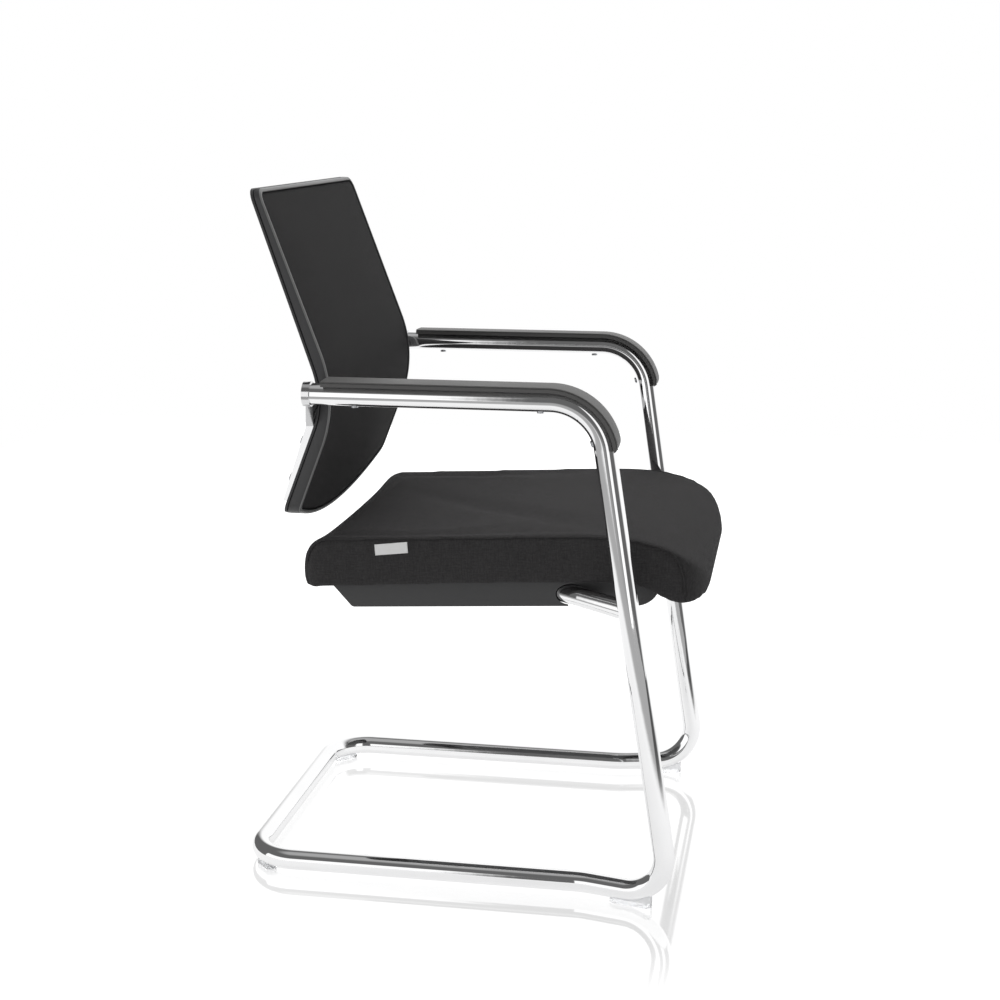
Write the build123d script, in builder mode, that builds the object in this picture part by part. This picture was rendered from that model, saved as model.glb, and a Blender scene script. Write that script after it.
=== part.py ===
# Visitor chair: cantilever frame of one bent tube, padded back, upholstered seat and arm pads.
# Millimetres. +X is the chair's front, +Y the sitter's left and +Z up, with the origin on the floor.
import os
from math import cos, pi, radians, sin, sqrt, tan

from build123d import *

# Frame tube
tube_dia = 26.0
tube_wall = 2.0
arm_spacing = 500.0
foot_spacing = 470.0
rail_spacing = 420.0
arm_axis_z = 628.5
arm_rear_x = -173.0
upright_top_x = 166.9
upright_foot_x = 260.5
flare_x = 148.5
rear_bar_x = -280.5
arm_bend_radius = 65.0
foot_bend_radius = 50.0
flare_bend_radius = 90.0
rear_bend_radius = 55.0

# Floor glides
glide_height = 4.5
glide_width = 15.0
front_glide_length = 54.0
front_glide_setback = 50.0
rear_glide_length = 36.0
peg_dia = 5.0
peg_reach = 4.0
peg_setback = 14.0

# Arm pads and their fasteners
pad_rear_x = -157.2
pad_width = 37.0
pad_height = 6.2
pad_wrap = 1.2
pad_overrun = 2.0
pad_edge_round = 2.5
pad_nose_depth = 3.7
pad_nose_length = 9.5
pad_screw_xs = (-121.0, 100.0)
pad_screw_bend_angle = 72.0
pad_screw_dia = 5.0
pad_screw_head_dia = 8.0
pad_screw_head_height = 1.6
pad_insert_dia = 8.0
pad_insert_length = 4.0

# Arm end plugs, back brackets and bolts
plug_length = 24.0
bracket_bolt_dia = 8.0
bracket_bolt_head_dia = 13.0
bracket_bolt_head_height = 5.0
bracket_bolt_length = 20.0
boss_dia = 30.0
boss_thickness = 9.0
web_thickness = 8.0
web_half_height = 12.0
web_rise = 30.0
leg_edge_inset = 3.75
leg_width = 36.0
leg_top_drop = 46.5
leg_bottom_rise = 12.0
leg_top_thickness = 9.0
leg_bottom_thickness = 4.5
leg_gap = 0.5

# Backrest
back_width = 423.5
back_top_z = 864.5
back_side_bottom_z = 476.0
back_bottom_bow = 33.0
back_top_corner_radius = 16.0
back_bottom_corner_radius = 16.0
back_waist_z = 614.0
back_front_corner_x = -150.6
back_waist_thickness = 20.7
back_front_upper_angle = 20.5
back_front_lower_angle = 21.0
back_rear_upper_angle = 19.0
back_rear_lower_angle = 21.1
back_front_radius = 163.0
back_rear_radius = 110.0
back_shell_thickness = 4.0
back_board_thickness = 3.0
back_cover_thickness = 1.2
back_rim_width = 4.5
back_crown = 2.0
back_section_shares = (-1.0, -0.6, 0.0, 0.6, 1.0)
back_profile_margin = 40.0
back_screw_edge = 21.75
back_screw_end_gap = 24.0
back_screw_dia = 6.0
back_screw_head_dia = 12.0
back_screw_head_height = 3.5
back_screw_grip = 5.5
back_insert_dia = 9.0

# Seat cushion, measured along and above its tilted base plane
seat_base_z = 393.1
seat_tilt = 3.1
seat_rear = -202.5
seat_front = 294.0
seat_half_width = 210.0
seat_side_height = 60.0
seat_front_crown = 4.0
seat_rear_dish = 5.0
seat_side_bulge = 4.0
seat_rear_round = 28.0
seat_front_run = 150.0
seat_front_round = 72.0
seat_front_corner = 30.0
seat_rear_corner = 22.0
seat_lip_drop = 24.0
seat_lip_peak = 18.0
seat_lip_length = 100.0
seat_rear_steps = 8
seat_front_steps = 14
seat_cover_thickness = 2.0
seat_cover_flange = 32.0

# Seat board and its fasteners
board_thickness = 12.0
board_rear_inset = 16.0
board_front_inset = 100.0
board_side_inset = 16.0
board_corner = 20.0
seat_bolt_y = 110.0
strap_front_s = 40.0
strap_rear_s = -90.0
strap_width = 40.0
strap_thickness = 4.0
strap_overhang = 16.0
spacer_height = 4.5
spacer_dia = 22.0
seat_bolt_dia = 6.0
seat_bolt_head_dia = 10.0
seat_bolt_head_height = 5.0
washer_dia = 14.0
washer_thickness = 1.5
tee_barrel_dia = 8.0
tee_flange_dia = 19.0
tee_flange_thickness = 1.2
tee_barrel_length = 9.0

# Seat rails
seat_rail_dia = 24.0
seat_rail_wall = 2.0
seat_rail_y = 150.0
seat_rail_rear_s = -125.0
seat_rail_turn_s = 85.0
seat_rail_exit_s = 140.0
seat_rail_exit_y = 200.0
seat_rail_joint_z = 380.0
seat_rail_bend_radius = 45.0
seat_rail_tail_radius = 80.0

# Cover under the seat
under_half_width = 190.0
under_depth = 33.0
under_wall = 2.0
under_rear_top = -173.4
under_rear_bottom = -147.0
under_corner_round = 7.0
under_front_top = 238.0
under_front_bottom = 208.0
under_slot_start = 22.0
under_slot_length = 60.0
under_slot_gap = 1.0
under_slot_heel = 3.0
under_post_dia = 12.0
under_screw_ys = 90.0
under_screw_rear_s = -125.0
under_screw_front_s = 150.0
under_screw_dia = 4.0
under_screw_head_dia = 8.0
under_screw_head_height = 2.0
under_screw_bite = 8.0

# Blank tag on the seat's right side
label_length = 41.0
label_height = 13.0
label_thickness = 0.6
label_center_s = -87.0
label_center_h = 45.5

# Clearances
close_gap = 0.05
seat_gap = 0.3
hole_gap = 0.25

# Derived frame places
tube_radius = tube_dia / 2
rail_axis_z = glide_height + tube_radius
pad_top = tube_radius - pad_wrap + pad_height
forward = Vector(1, 0, 0)
sides = {"right": -1, "left": 1}


def write(piece, name):
    piece.part.label = name
    export_step(piece.part, f"parts/{name}.step")


def arm_end(side):
    return Vector(arm_rear_x, side * arm_spacing / 2, arm_axis_z)


def arm_corner(side):
    return Vector(upright_top_x, side * arm_spacing / 2, arm_axis_z)


def foot_corner(side):
    return Vector(upright_foot_x, side * foot_spacing / 2, rail_axis_z)


def flare_corner(side):
    return Vector(flare_x, side * rail_spacing / 2, rail_axis_z)


def rear_corner(side):
    return Vector(rear_bar_x, side * rail_spacing / 2, rail_axis_z)


def upright_direction(side):
    return (foot_corner(side) - arm_corner(side)).normalized()


def upright_at(side, z):
    share = (arm_axis_z - z) / (arm_axis_z - rail_axis_z)
    return arm_corner(side) + (foot_corner(side) - arm_corner(side)) * share


def arm_tangent(side):
    turn = forward.get_angle(upright_direction(side))
    return arm_bend_radius * tan(radians(turn / 2))


def pad_screw_planes(side):
    # Each plane stands on the tube's axis, with its normal towards the pad.
    planes = [
        Plane(origin=(x, side * arm_spacing / 2, arm_axis_z), x_dir=forward, z_dir=(0, 0, 1))
        for x in pad_screw_xs
    ]
    down = upright_direction(side)
    inward = (down - forward * down.dot(forward)).normalized()
    bend_start = arm_corner(side) - forward * arm_tangent(side)
    bend_center = bend_start + inward * arm_bend_radius
    angle = radians(pad_screw_bend_angle)
    outward = forward * sin(angle) - inward * cos(angle)
    along = forward * cos(angle) + inward * sin(angle)
    planes.append(Plane(origin=bend_center + outward * arm_bend_radius, x_dir=along, z_dir=outward))
    return planes


def glide_places(side):
    # Plane on the floor, length of the glide and the peg's offset along it.
    run = (flare_corner(side) - foot_corner(side)).normalized()
    front = foot_corner(side) + run * front_glide_setback
    bend = rear_bend_radius * (1 - 1 / sqrt(2))
    rear = rear_corner(side) + Vector(bend, -side * bend, 0)
    return {
        "front": (
            Plane(origin=(front.X, front.Y, 0), x_dir=run, z_dir=(0, 0, 1)),
            front_glide_length,
            peg_setback,
        ),
        "rear": (
            Plane(origin=(rear.X, rear.Y, 0), x_dir=(1, side, 0), z_dir=(0, 0, 1)),
            rear_glide_length,
            0.0,
        ),
    }


def back_curve(corner_x, upper_angle, lower_angle):
    # Side view of a backrest face: two straight runs that would meet at the waist.
    top_z = back_top_z + back_profile_margin
    bottom_z = back_side_bottom_z - back_bottom_bow - back_profile_margin
    top_x = corner_x - (top_z - back_waist_z) * tan(radians(upper_angle))
    bottom_x = corner_x - (back_waist_z - bottom_z) * tan(radians(lower_angle))
    return (top_x, top_z), (corner_x, back_waist_z), (bottom_x, bottom_z)


def front_curve(inset):
    corner_x = back_front_corner_x - inset / cos(radians(back_front_upper_angle))
    points = back_curve(corner_x, back_front_upper_angle, back_front_lower_angle)
    return points, back_front_radius - inset


def rear_curve(inset):
    corner_x = back_front_corner_x - back_waist_thickness + inset / cos(radians(back_rear_upper_angle))
    points = back_curve(corner_x, back_rear_upper_angle, back_rear_lower_angle)
    return points, back_rear_radius + inset


def back_profile(first, second, plane=Plane.XZ):
    # Face between two side-view curves.
    with BuildSketch(plane) as profile:
        with BuildLine():
            start = FilletPolyline(*first[0], radius=first[1])
            end = FilletPolyline(*second[0], radius=second[1])
            Line(start @ 0, end @ 0)
            Line(start @ 1, end @ 1)
        make_face()
    return profile.sketch


def back_outline(inset):
    # Front view of the backrest, with a bowed bottom edge.
    half = back_width / 2 - inset
    top_z = back_top_z - inset
    bottom_z = back_side_bottom_z + inset
    with BuildSketch(Plane.YZ) as outline:
        with BuildLine():
            Polyline((-half, bottom_z), (-half, top_z), (half, top_z), (half, bottom_z))
            ThreePointArc((half, bottom_z), (0, bottom_z - back_bottom_bow), (-half, bottom_z))
        make_face()
        rows = outline.vertices().group_by(Axis.Y)
        fillet(rows[-1], radius=back_top_corner_radius - inset)
        fillet(rows[0], radius=back_bottom_corner_radius - inset)
    return outline.sketch


seat_forward = Vector(cos(radians(seat_tilt)), 0, sin(radians(seat_tilt)))
seat_up = Vector(-sin(radians(seat_tilt)), 0, cos(radians(seat_tilt)))


def seat_point(s, y, h):
    return Vector(0, y, seat_base_z) + seat_forward * s + seat_up * h


def seat_level(h):
    return Plane(origin=seat_point(0, 0, h), x_dir=seat_forward, z_dir=seat_up)


def rounding(reach, run, height):
    # Drop below a flat surface, at a distance from its rounded end.
    if reach >= run:
        return 0.0
    return height * (1 - sqrt(1 - (1 - reach / run) ** 2))


def cushion_sections(inset):
    # Cross-sections of the seat cushion from rear to front: dished at the rear, crowned at the
    # front, with bulged sides.
    front = seat_front - inset
    rear = seat_rear + inset
    rear_round = seat_rear_round - inset
    rear_corner_round = seat_rear_corner - inset
    front_corner_round = seat_front_corner - inset
    tail = max(rear_round, rear_corner_round)
    nose = max(seat_front_run, seat_lip_length) - inset
    tail_angles = [pi / 2 * step / seat_rear_steps for step in range(1, seat_rear_steps + 1)]
    nose_angles = [pi / 2 * step / seat_front_steps for step in range(seat_front_steps, 0, -1)]
    stations = [(rear + tail * (1 - cos(angle)), -seat_rear_dish) for angle in tail_angles]
    stations += [(front - nose * (1 - cos(angle)), seat_front_crown) for angle in nose_angles]
    sections = []
    for s, crown in stations:
        t = s - rear
        u = front - s
        top = seat_side_height - inset - rounding(t, rear_round, rear_round)
        top -= rounding(u, seat_front_run - inset, seat_front_round - inset)
        bottom = inset - seat_lip(u)
        half = seat_half_width - inset - rounding(t, rear_corner_round, rear_corner_round)
        half -= rounding(u, front_corner_round, front_corner_round)
        fullness = min(1.0, (top - bottom) / seat_side_height)
        draw = seat_side_bulge * fullness
        middle = (top + bottom) / 2
        plane = Plane(origin=seat_point(s, 0, 0), x_dir=(0, 1, 0), z_dir=seat_forward)
        with BuildSketch(plane) as section:
            with BuildLine():
                Line((draw - half, bottom), (half - draw, bottom))
                ThreePointArc((half - draw, bottom), (half, middle), (half - draw, top))
                ThreePointArc((half - draw, top), (0, top + crown * fullness), (draw - half, top))
                ThreePointArc((draw - half, top), (-half, middle), (draw - half, bottom))
            make_face()
        sections.append(section.sketch)
    return sections


def seat_lip(u):
    # Depth of the front lip below the base plane, at a distance behind the front end.
    nose = seat_front_round - seat_side_height
    if u < seat_lip_peak:
        return nose + (seat_lip_drop - nose) * sqrt(1 - (1 - u / seat_lip_peak) ** 2)
    if u < seat_lip_length:
        share = (u - seat_lip_peak) / (seat_lip_length - seat_lip_peak)
        return seat_lip_drop * (1 + cos(pi * share)) / 2
    return 0.0


os.makedirs("parts", exist_ok=True)

# Frame path: right arm, upright, floor rail, rear bar, left rail, upright and arm.
right_points = [arm_end(-1), arm_corner(-1), foot_corner(-1), flare_corner(-1), rear_corner(-1)]
left_points = [rear_corner(1), flare_corner(1), foot_corner(1), arm_corner(1), arm_end(1)]
side_radii = [arm_bend_radius, foot_bend_radius, flare_bend_radius, rear_bend_radius]
with BuildLine() as frame_path:
    FilletPolyline(*right_points, *left_points, radius=side_radii + side_radii[::-1])
frame_start = Plane(origin=frame_path.line @ 0, x_dir=(0, 1, 0), z_dir=frame_path.line % 0)

# Solid rod a hair larger than the tube, which trims what seats on it.
with BuildPart() as tube_envelope:
    with BuildSketch(frame_start):
        Circle(tube_radius + close_gap)
    sweep(path=frame_path.line)

# Bent tube with holes for the pad screws and the glide pegs
with BuildPart() as frame_tube:
    with BuildSketch(frame_start):
        Circle(tube_radius)
        Circle(tube_radius - tube_wall, mode=Mode.SUBTRACT)
    sweep(path=frame_path.line)
    for side in sides.values():
        for plane in pad_screw_planes(side):
            with BuildSketch(plane):
                Circle(pad_screw_dia / 2 + hole_gap)
            extrude(amount=tube_dia, both=True, mode=Mode.SUBTRACT)
        for plane, length, peg_offset in glide_places(side).values():
            with BuildSketch(plane):
                with Locations((peg_offset, 0)):
                    Circle(peg_dia / 2 + hole_gap)
            extrude(amount=rail_axis_z, mode=Mode.SUBTRACT)
write(frame_tube, "frame_tube")

# Floor glides: saddles under the front and rear bends, each with a peg into the tube
for side_name, side in sides.items():
    for place_name, (plane, length, peg_offset) in glide_places(side).items():
        with BuildPart() as glide:
            with BuildSketch(plane):
                SlotOverall(length, glide_width)
            extrude(amount=rail_axis_z)
            add(tube_envelope.part, mode=Mode.SUBTRACT)
            with BuildSketch(plane.offset(glide_height / 2)):
                with Locations((peg_offset, 0)):
                    Circle(peg_dia / 2)
            extrude(amount=glide_height / 2 + tube_wall + peg_reach)
        write(glide, f"glide_{place_name}_{side_name}")

# Arm pads: a grooved strip swept along the arm and round its bend
for side_name, side in sides.items():
    pad_start = Vector(pad_rear_x, side * arm_spacing / 2, arm_axis_z)
    pad_end = arm_corner(side) + upright_direction(side) * (arm_tangent(side) + pad_overrun)
    with BuildLine() as pad_path:
        FilletPolyline(pad_start, arm_corner(side), pad_end, radius=arm_bend_radius)
    with BuildPart() as arm_pad:
        with BuildSketch(Plane(origin=pad_start, x_dir=(0, 1, 0), z_dir=forward)) as pad_section:
            with Locations((0, pad_top - pad_height / 2)):
                Rectangle(pad_width, pad_height)
            fillet(pad_section.vertices().group_by(Axis.Y)[-1], radius=pad_edge_round)
            Circle(tube_radius + close_gap, mode=Mode.SUBTRACT)
        sweep(path=pad_path.line)
        down = upright_direction(side)
        outward = (forward - down * down.dot(forward)).normalized()
        with BuildSketch(Plane(origin=pad_end, x_dir=outward, z_dir=outward.cross(down))):
            with BuildLine():
                Polyline(
                    (pad_top - pad_nose_depth, 0),
                    (pad_top + pad_nose_depth, 0),
                    (pad_top + pad_nose_depth, -2 * pad_nose_length),
                    close=True,
                )
            make_face()
        extrude(amount=pad_width, both=True, mode=Mode.SUBTRACT)
        for plane in pad_screw_planes(side):
            with BuildSketch(plane):
                Circle(pad_insert_dia / 2 + close_gap)
            extrude(amount=tube_radius + pad_insert_length + close_gap, mode=Mode.SUBTRACT)
    write(arm_pad, f"arm_pad_{side_name}")

# Nuts moulded into the pads
with BuildPart() as arm_pad_inserts:
    for side in sides.values():
        for plane in pad_screw_planes(side):
            with BuildSketch(plane.offset(tube_radius + close_gap)):
                Circle(pad_insert_dia / 2)
                Circle(pad_screw_dia / 2 + close_gap, mode=Mode.SUBTRACT)
            extrude(amount=pad_insert_length - close_gap)
write(arm_pad_inserts, "arm_pad_inserts")

# Pad screws: heads saddled on the tube, shanks through it into the nuts
with BuildPart() as arm_pad_screws:
    for side in sides.values():
        for plane in pad_screw_planes(side):
            with BuildSketch(plane.offset(-tube_radius - pad_screw_head_height)):
                Circle(pad_screw_head_dia / 2)
            extrude(amount=pad_screw_head_height + tube_radius / 2)
    add(tube_envelope.part, mode=Mode.SUBTRACT)
    for side in sides.values():
        for plane in pad_screw_planes(side):
            with BuildSketch(plane.offset(-tube_radius - pad_screw_head_height / 2)):
                Circle(pad_screw_dia / 2)
            extrude(amount=tube_dia + pad_screw_head_height / 2 + pad_insert_length - hole_gap)
write(arm_pad_screws, "arm_pad_screws")

# Threaded plugs in the rear ends of the arms
for side_name, side in sides.items():
    with BuildPart() as arm_end_plug:
        with BuildSketch(Plane(origin=arm_end(side), x_dir=(0, 1, 0), z_dir=forward)):
            Circle(tube_radius - tube_wall - close_gap)
            Circle(bracket_bolt_dia / 2 + close_gap, mode=Mode.SUBTRACT)
        extrude(amount=plug_length)
    write(arm_end_plug, f"arm_end_plug_{side_name}")

# Lower rear face of the backrest, which the bracket legs lie on
lower_lean = radians(back_rear_lower_angle)
leg_normal = Vector(-cos(lower_lean), 0, sin(lower_lean))
leg_top_z = arm_axis_z - leg_top_drop
leg_bottom_z = back_side_bottom_z + leg_bottom_rise
leg_outer_y = back_width / 2 - leg_edge_inset
leg_inner_y = leg_outer_y - leg_width
back_screw_zs = (leg_top_z - back_screw_end_gap, leg_bottom_z + back_screw_end_gap)


def back_rear_x(z):
    corner_x = back_front_corner_x - back_waist_thickness
    return corner_x - (back_waist_z - z) * tan(lower_lean)


def leg_x(z, depth):
    return back_rear_x(z) - (leg_gap + depth) / cos(lower_lean)


def back_screw_planes(side):
    # Planes on the rear face of the backrest, with their normal to the rear.
    y = side * (back_width / 2 - back_screw_edge)
    return [
        Plane(origin=(back_rear_x(z), y, z), x_dir=(0, 1, 0), z_dir=leg_normal) for z in back_screw_zs
    ]


# Back brackets: a boss on the arm's end, a web inward and a tapered leg down the backrest
web_front_x = arm_rear_x - boss_thickness + web_thickness
boss_rear_x = arm_rear_x - boss_thickness
boss_top_z = arm_axis_z + boss_dia / 2
boss_bottom_z = arm_axis_z - boss_dia / 2
for side_name, side in sides.items():
    with BuildPart() as back_bracket:
        with BuildSketch(Plane.XZ):
            with BuildLine():
                Polyline(
                    (web_front_x, boss_top_z),
                    (web_front_x, boss_bottom_z),
                    (leg_x(leg_top_z, 0), leg_top_z),
                    (leg_x(leg_bottom_z, 0), leg_bottom_z),
                    (leg_x(leg_bottom_z, leg_bottom_thickness), leg_bottom_z),
                    (leg_x(leg_top_z, leg_top_thickness), leg_top_z),
                    (boss_rear_x, boss_bottom_z),
                    (boss_rear_x, boss_top_z),
                    close=True,
                )
            make_face()
        extrude(amount=arm_spacing, both=True)
        with BuildSketch(Plane.YZ):
            with BuildLine():
                Polyline(
                    (side * arm_spacing / 2, arm_axis_z + web_half_height),
                    (side * leg_outer_y, leg_top_z + web_rise),
                    (side * leg_inner_y, leg_top_z),
                    (side * leg_inner_y, leg_bottom_z),
                    (side * leg_outer_y, leg_bottom_z),
                    (side * leg_outer_y, leg_top_z),
                    (side * arm_spacing / 2, arm_axis_z - web_half_height),
                    close=True,
                )
            make_face()
        extrude(amount=arm_spacing, both=True, mode=Mode.INTERSECT)
        back_space = back_profile(rear_curve(-leg_gap), front_curve(0))
        extrude(back_space, amount=back_width / 2 + leg_gap, both=True, mode=Mode.SUBTRACT)
        with BuildSketch(Plane(origin=(boss_rear_x, side * arm_spacing / 2, arm_axis_z), z_dir=forward)):
            Circle(boss_dia / 2)
        extrude(amount=boss_thickness)
        with BuildSketch(Plane(origin=(boss_rear_x, side * arm_spacing / 2, arm_axis_z), z_dir=forward)):
            Circle(bracket_bolt_dia / 2 + hole_gap)
        extrude(amount=boss_thickness, mode=Mode.SUBTRACT)
        with BuildSketch(Plane(origin=(boss_rear_x, side * arm_spacing / 2, arm_axis_z), z_dir=forward)):
            Circle(bracket_bolt_head_dia / 2 + hole_gap)
        extrude(amount=bracket_bolt_head_height, mode=Mode.SUBTRACT)
        for plane in back_screw_planes(side):
            with BuildSketch(plane):
                Circle(back_screw_dia / 2 + hole_gap)
            extrude(amount=back_screw_head_dia * 2, mode=Mode.SUBTRACT)
    write(back_bracket, f"back_bracket_{side_name}")

# Socket bolts through the bosses into the arm end plugs
with BuildPart() as bracket_bolts:
    for side in sides.values():
        seat_face = Plane(
            origin=(boss_rear_x, side * arm_spacing / 2, arm_axis_z), x_dir=(0, 1, 0), z_dir=forward
        )
        with BuildSketch(seat_face):
            Circle(bracket_bolt_head_dia / 2)
            RegularPolygon(bracket_bolt_dia / 2, 6, mode=Mode.SUBTRACT)
        extrude(amount=bracket_bolt_head_height)
        with BuildSketch(seat_face.offset(bracket_bolt_head_height / 2)):
            Circle(bracket_bolt_dia / 2)
        extrude(amount=bracket_bolt_length)
write(bracket_bolts, "bracket_bolts")

# Rear shell of the backrest
with BuildPart() as back_shell:
    extrude(back_profile(rear_curve(0), rear_curve(back_shell_thickness)), amount=back_width, both=True)
    extrude(back_outline(0), amount=back_width, both=True, mode=Mode.INTERSECT)
    for side in sides.values():
        for plane in back_screw_planes(side):
            with BuildSketch(plane):
                Circle(back_insert_dia / 2 + close_gap)
            extrude(amount=back_shell_thickness * 2, both=True, mode=Mode.SUBTRACT)
write(back_shell, "back_shell")

# Frame band round the backrest, in front of the shell
with BuildPart() as back_frame:
    extrude(back_profile(rear_curve(back_shell_thickness), front_curve(0)), amount=back_width, both=True)
    extrude(back_outline(0), amount=back_width, both=True, mode=Mode.INTERSECT)
    extrude(back_outline(back_rim_width), amount=back_width, both=True, mode=Mode.SUBTRACT)
write(back_frame, "back_frame")

# Stiff panel inside the frame band, against the shell
panel_front = back_shell_thickness + back_board_thickness
with BuildPart() as back_board:
    panel = back_profile(rear_curve(back_shell_thickness), rear_curve(panel_front))
    extrude(panel, amount=back_width, both=True)
    extrude(back_outline(back_rim_width + seat_gap), amount=back_width, both=True, mode=Mode.INTERSECT)
    for side in sides.values():
        for plane in back_screw_planes(side):
            with BuildSketch(plane):
                Circle(back_insert_dia / 2 + close_gap)
            extrude(amount=-panel_front * 2, mode=Mode.SUBTRACT)
write(back_board, "back_board")


def crowned_sections(first_curve, first_inset, second_inset, crown_first):
    # Side-view sections across the backrest, fullest at the middle.
    sections = []
    for share in back_section_shares:
        swell = back_crown * (1 - share**2)
        first = first_curve(first_inset - (swell if crown_first else 0.0))
        plane = Plane.XZ.offset(-share * back_width / 2)
        sections.append(back_profile(first, front_curve(second_inset - swell), plane))
    return sections


# Padding of the backrest
with BuildPart() as back_foam:
    loft(crowned_sections(rear_curve, panel_front, back_cover_thickness, False))
    extrude(back_outline(back_rim_width + seat_gap), amount=back_width, both=True, mode=Mode.INTERSECT)
write(back_foam, "back_foam")

# Fabric front of the backrest
with BuildPart() as back_cover:
    loft(crowned_sections(front_curve, back_cover_thickness, 0, True))
    extrude(back_outline(back_rim_width + seat_gap), amount=back_width, both=True, mode=Mode.INTERSECT)
write(back_cover, "back_cover")

# Threaded inserts in the shell and panel, and the screws that hold the brackets
with BuildPart() as back_inserts:
    for side in sides.values():
        for plane in back_screw_planes(side):
            with BuildSketch(plane):
                Circle(back_insert_dia / 2)
                Circle(back_screw_dia / 2 + close_gap, mode=Mode.SUBTRACT)
            extrude(amount=seat_gap - panel_front)
write(back_inserts, "back_inserts")

with BuildPart() as back_screws:
    for side in sides.values():
        for z, plane in zip(back_screw_zs, back_screw_planes(side)):
            share = (z + back_screw_head_dia / 2 - leg_bottom_z) / (leg_top_z - leg_bottom_z)
            leg_depth = leg_bottom_thickness + (leg_top_thickness - leg_bottom_thickness) * share
            head_base = leg_gap + leg_depth + hole_gap
            with BuildSketch(plane.offset(head_base)):
                Circle(back_screw_head_dia / 2)
            extrude(amount=back_screw_head_height)
            with BuildSketch(plane.offset(-back_screw_grip)):
                Circle(back_screw_dia / 2)
            extrude(amount=back_screw_grip + head_base + back_screw_head_height / 2)
write(back_screws, "back_screws")

# Seat heights above the base plane, from the board down to the rails
board_bottom = seat_cover_thickness + seat_gap
board_top = board_bottom + board_thickness
strap_top = board_bottom - spacer_height
strap_bottom = strap_top - strap_thickness
rail_axis_h = strap_bottom - seat_rail_dia / 2
board_rear = seat_rear + board_rear_inset
board_front = seat_front - board_front_inset
board_half = seat_half_width - board_side_inset
bolt_spots = [(s, y) for s in (strap_rear_s, strap_front_s) for y in (-seat_bolt_y, seat_bolt_y)]
under_spots = [
    (s, y) for s in (under_screw_rear_s, under_screw_front_s) for y in (-under_screw_ys, under_screw_ys)
]


def board_plan(inset, h):
    # Plan of the seat board at a height above the base plane.
    length = board_front - board_rear - 2 * inset
    with BuildSketch(seat_level(h)) as plan:
        with Locations(((board_rear + board_front) / 2, 0)):
            RectangleRounded(length, 2 * (board_half - inset), board_corner)
    return plan.sketch


# Outer and inner forms of the seat cushion
with BuildPart() as cushion_outer:
    loft(cushion_sections(0), ruled=True)
with BuildPart() as cushion_inner:
    loft(cushion_sections(seat_cover_thickness), ruled=True)

# Cushion form a hair larger than the cover, which trims what lies under it
with BuildPart() as cushion_envelope:
    loft(cushion_sections(-seat_gap), ruled=True)

# Fabric cover, turned under the board and open beneath
with BuildPart() as seat_cover:
    add(cushion_outer.part)
    add(cushion_inner.part, mode=Mode.SUBTRACT)
    opening = board_plan(seat_cover_flange, board_bottom)
    extrude(opening, amount=board_thickness, both=True, mode=Mode.SUBTRACT)
write(seat_cover, "seat_cover")

# Foam block on the board
with BuildPart() as seat_foam:
    add(cushion_inner.part)
    extrude(board_plan(-seat_gap, board_top), amount=-board_thickness * 2, mode=Mode.SUBTRACT)
write(seat_foam, "seat_foam")

# Plywood board with its bolt and screw holes
with BuildPart() as seat_board:
    extrude(board_plan(0, board_bottom), amount=board_thickness)
    with Locations(seat_level(board_top)):
        with Locations(*bolt_spots):
            CounterBoreHole(
                tee_barrel_dia / 2 + close_gap, tee_flange_dia / 2 + close_gap, tee_flange_thickness
            )
    with BuildSketch(seat_level(board_bottom)):
        with Locations(*under_spots):
            Circle(under_screw_dia / 2 + close_gap)
    extrude(amount=under_screw_bite + hole_gap, mode=Mode.SUBTRACT)
write(seat_board, "seat_board")

# Tee nuts let into the top of the board
with BuildPart() as seat_tee_nuts:
    with BuildSketch(seat_level(board_top)):
        with Locations(*bolt_spots):
            Circle(tee_flange_dia / 2)
    extrude(amount=-tee_flange_thickness)
    with BuildSketch(seat_level(board_top)):
        with Locations(*bolt_spots):
            Circle(tee_barrel_dia / 2)
    extrude(amount=-tee_barrel_length)
    with BuildSketch(seat_level(board_top)):
        with Locations(*bolt_spots):
            Circle(seat_bolt_dia / 2 + close_gap)
    extrude(amount=-tee_barrel_length, mode=Mode.SUBTRACT)
write(seat_tee_nuts, "seat_tee_nuts")

# Flat bars across the rails
for strap_name, strap_s in {"front": strap_front_s, "rear": strap_rear_s}.items():
    with BuildPart() as seat_strap:
        with BuildSketch(seat_level(strap_bottom)):
            with Locations((strap_s, 0)):
                RectangleRounded(strap_width, 2 * (seat_rail_y + strap_overhang), strap_overhang / 2)
            with Locations((strap_s, -seat_bolt_y), (strap_s, seat_bolt_y)):
                Circle(seat_bolt_dia / 2 + hole_gap, mode=Mode.SUBTRACT)
        extrude(amount=strap_thickness)
    write(seat_strap, f"seat_strap_{strap_name}")

# Rubber spacers between the straps and the board
with BuildPart() as seat_spacers:
    with BuildSketch(seat_level(strap_top)):
        with Locations(*bolt_spots):
            Circle(spacer_dia / 2)
            Circle(seat_bolt_dia / 2 + hole_gap, mode=Mode.SUBTRACT)
    extrude(amount=spacer_height)
write(seat_spacers, "seat_spacers")

# Washers and bolts under the straps
with BuildPart() as seat_washers:
    with BuildSketch(seat_level(strap_bottom)):
        with Locations(*bolt_spots):
            Circle(washer_dia / 2)
            Circle(seat_bolt_dia / 2 + hole_gap, mode=Mode.SUBTRACT)
    extrude(amount=-washer_thickness)
write(seat_washers, "seat_washers")

head_top = strap_bottom - washer_thickness
with BuildPart() as seat_bolts:
    with BuildSketch(seat_level(head_top)):
        with Locations(*bolt_spots):
            RegularPolygon(seat_bolt_head_dia / 2, 6)
    extrude(amount=-seat_bolt_head_height)
    with BuildSketch(seat_level(head_top - seat_bolt_head_height / 2)):
        with Locations(*bolt_spots):
            Circle(seat_bolt_dia / 2)
    extrude(amount=board_top - head_top + seat_bolt_head_height / 2 - tee_flange_thickness)
write(seat_bolts, "seat_bolts")

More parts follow.
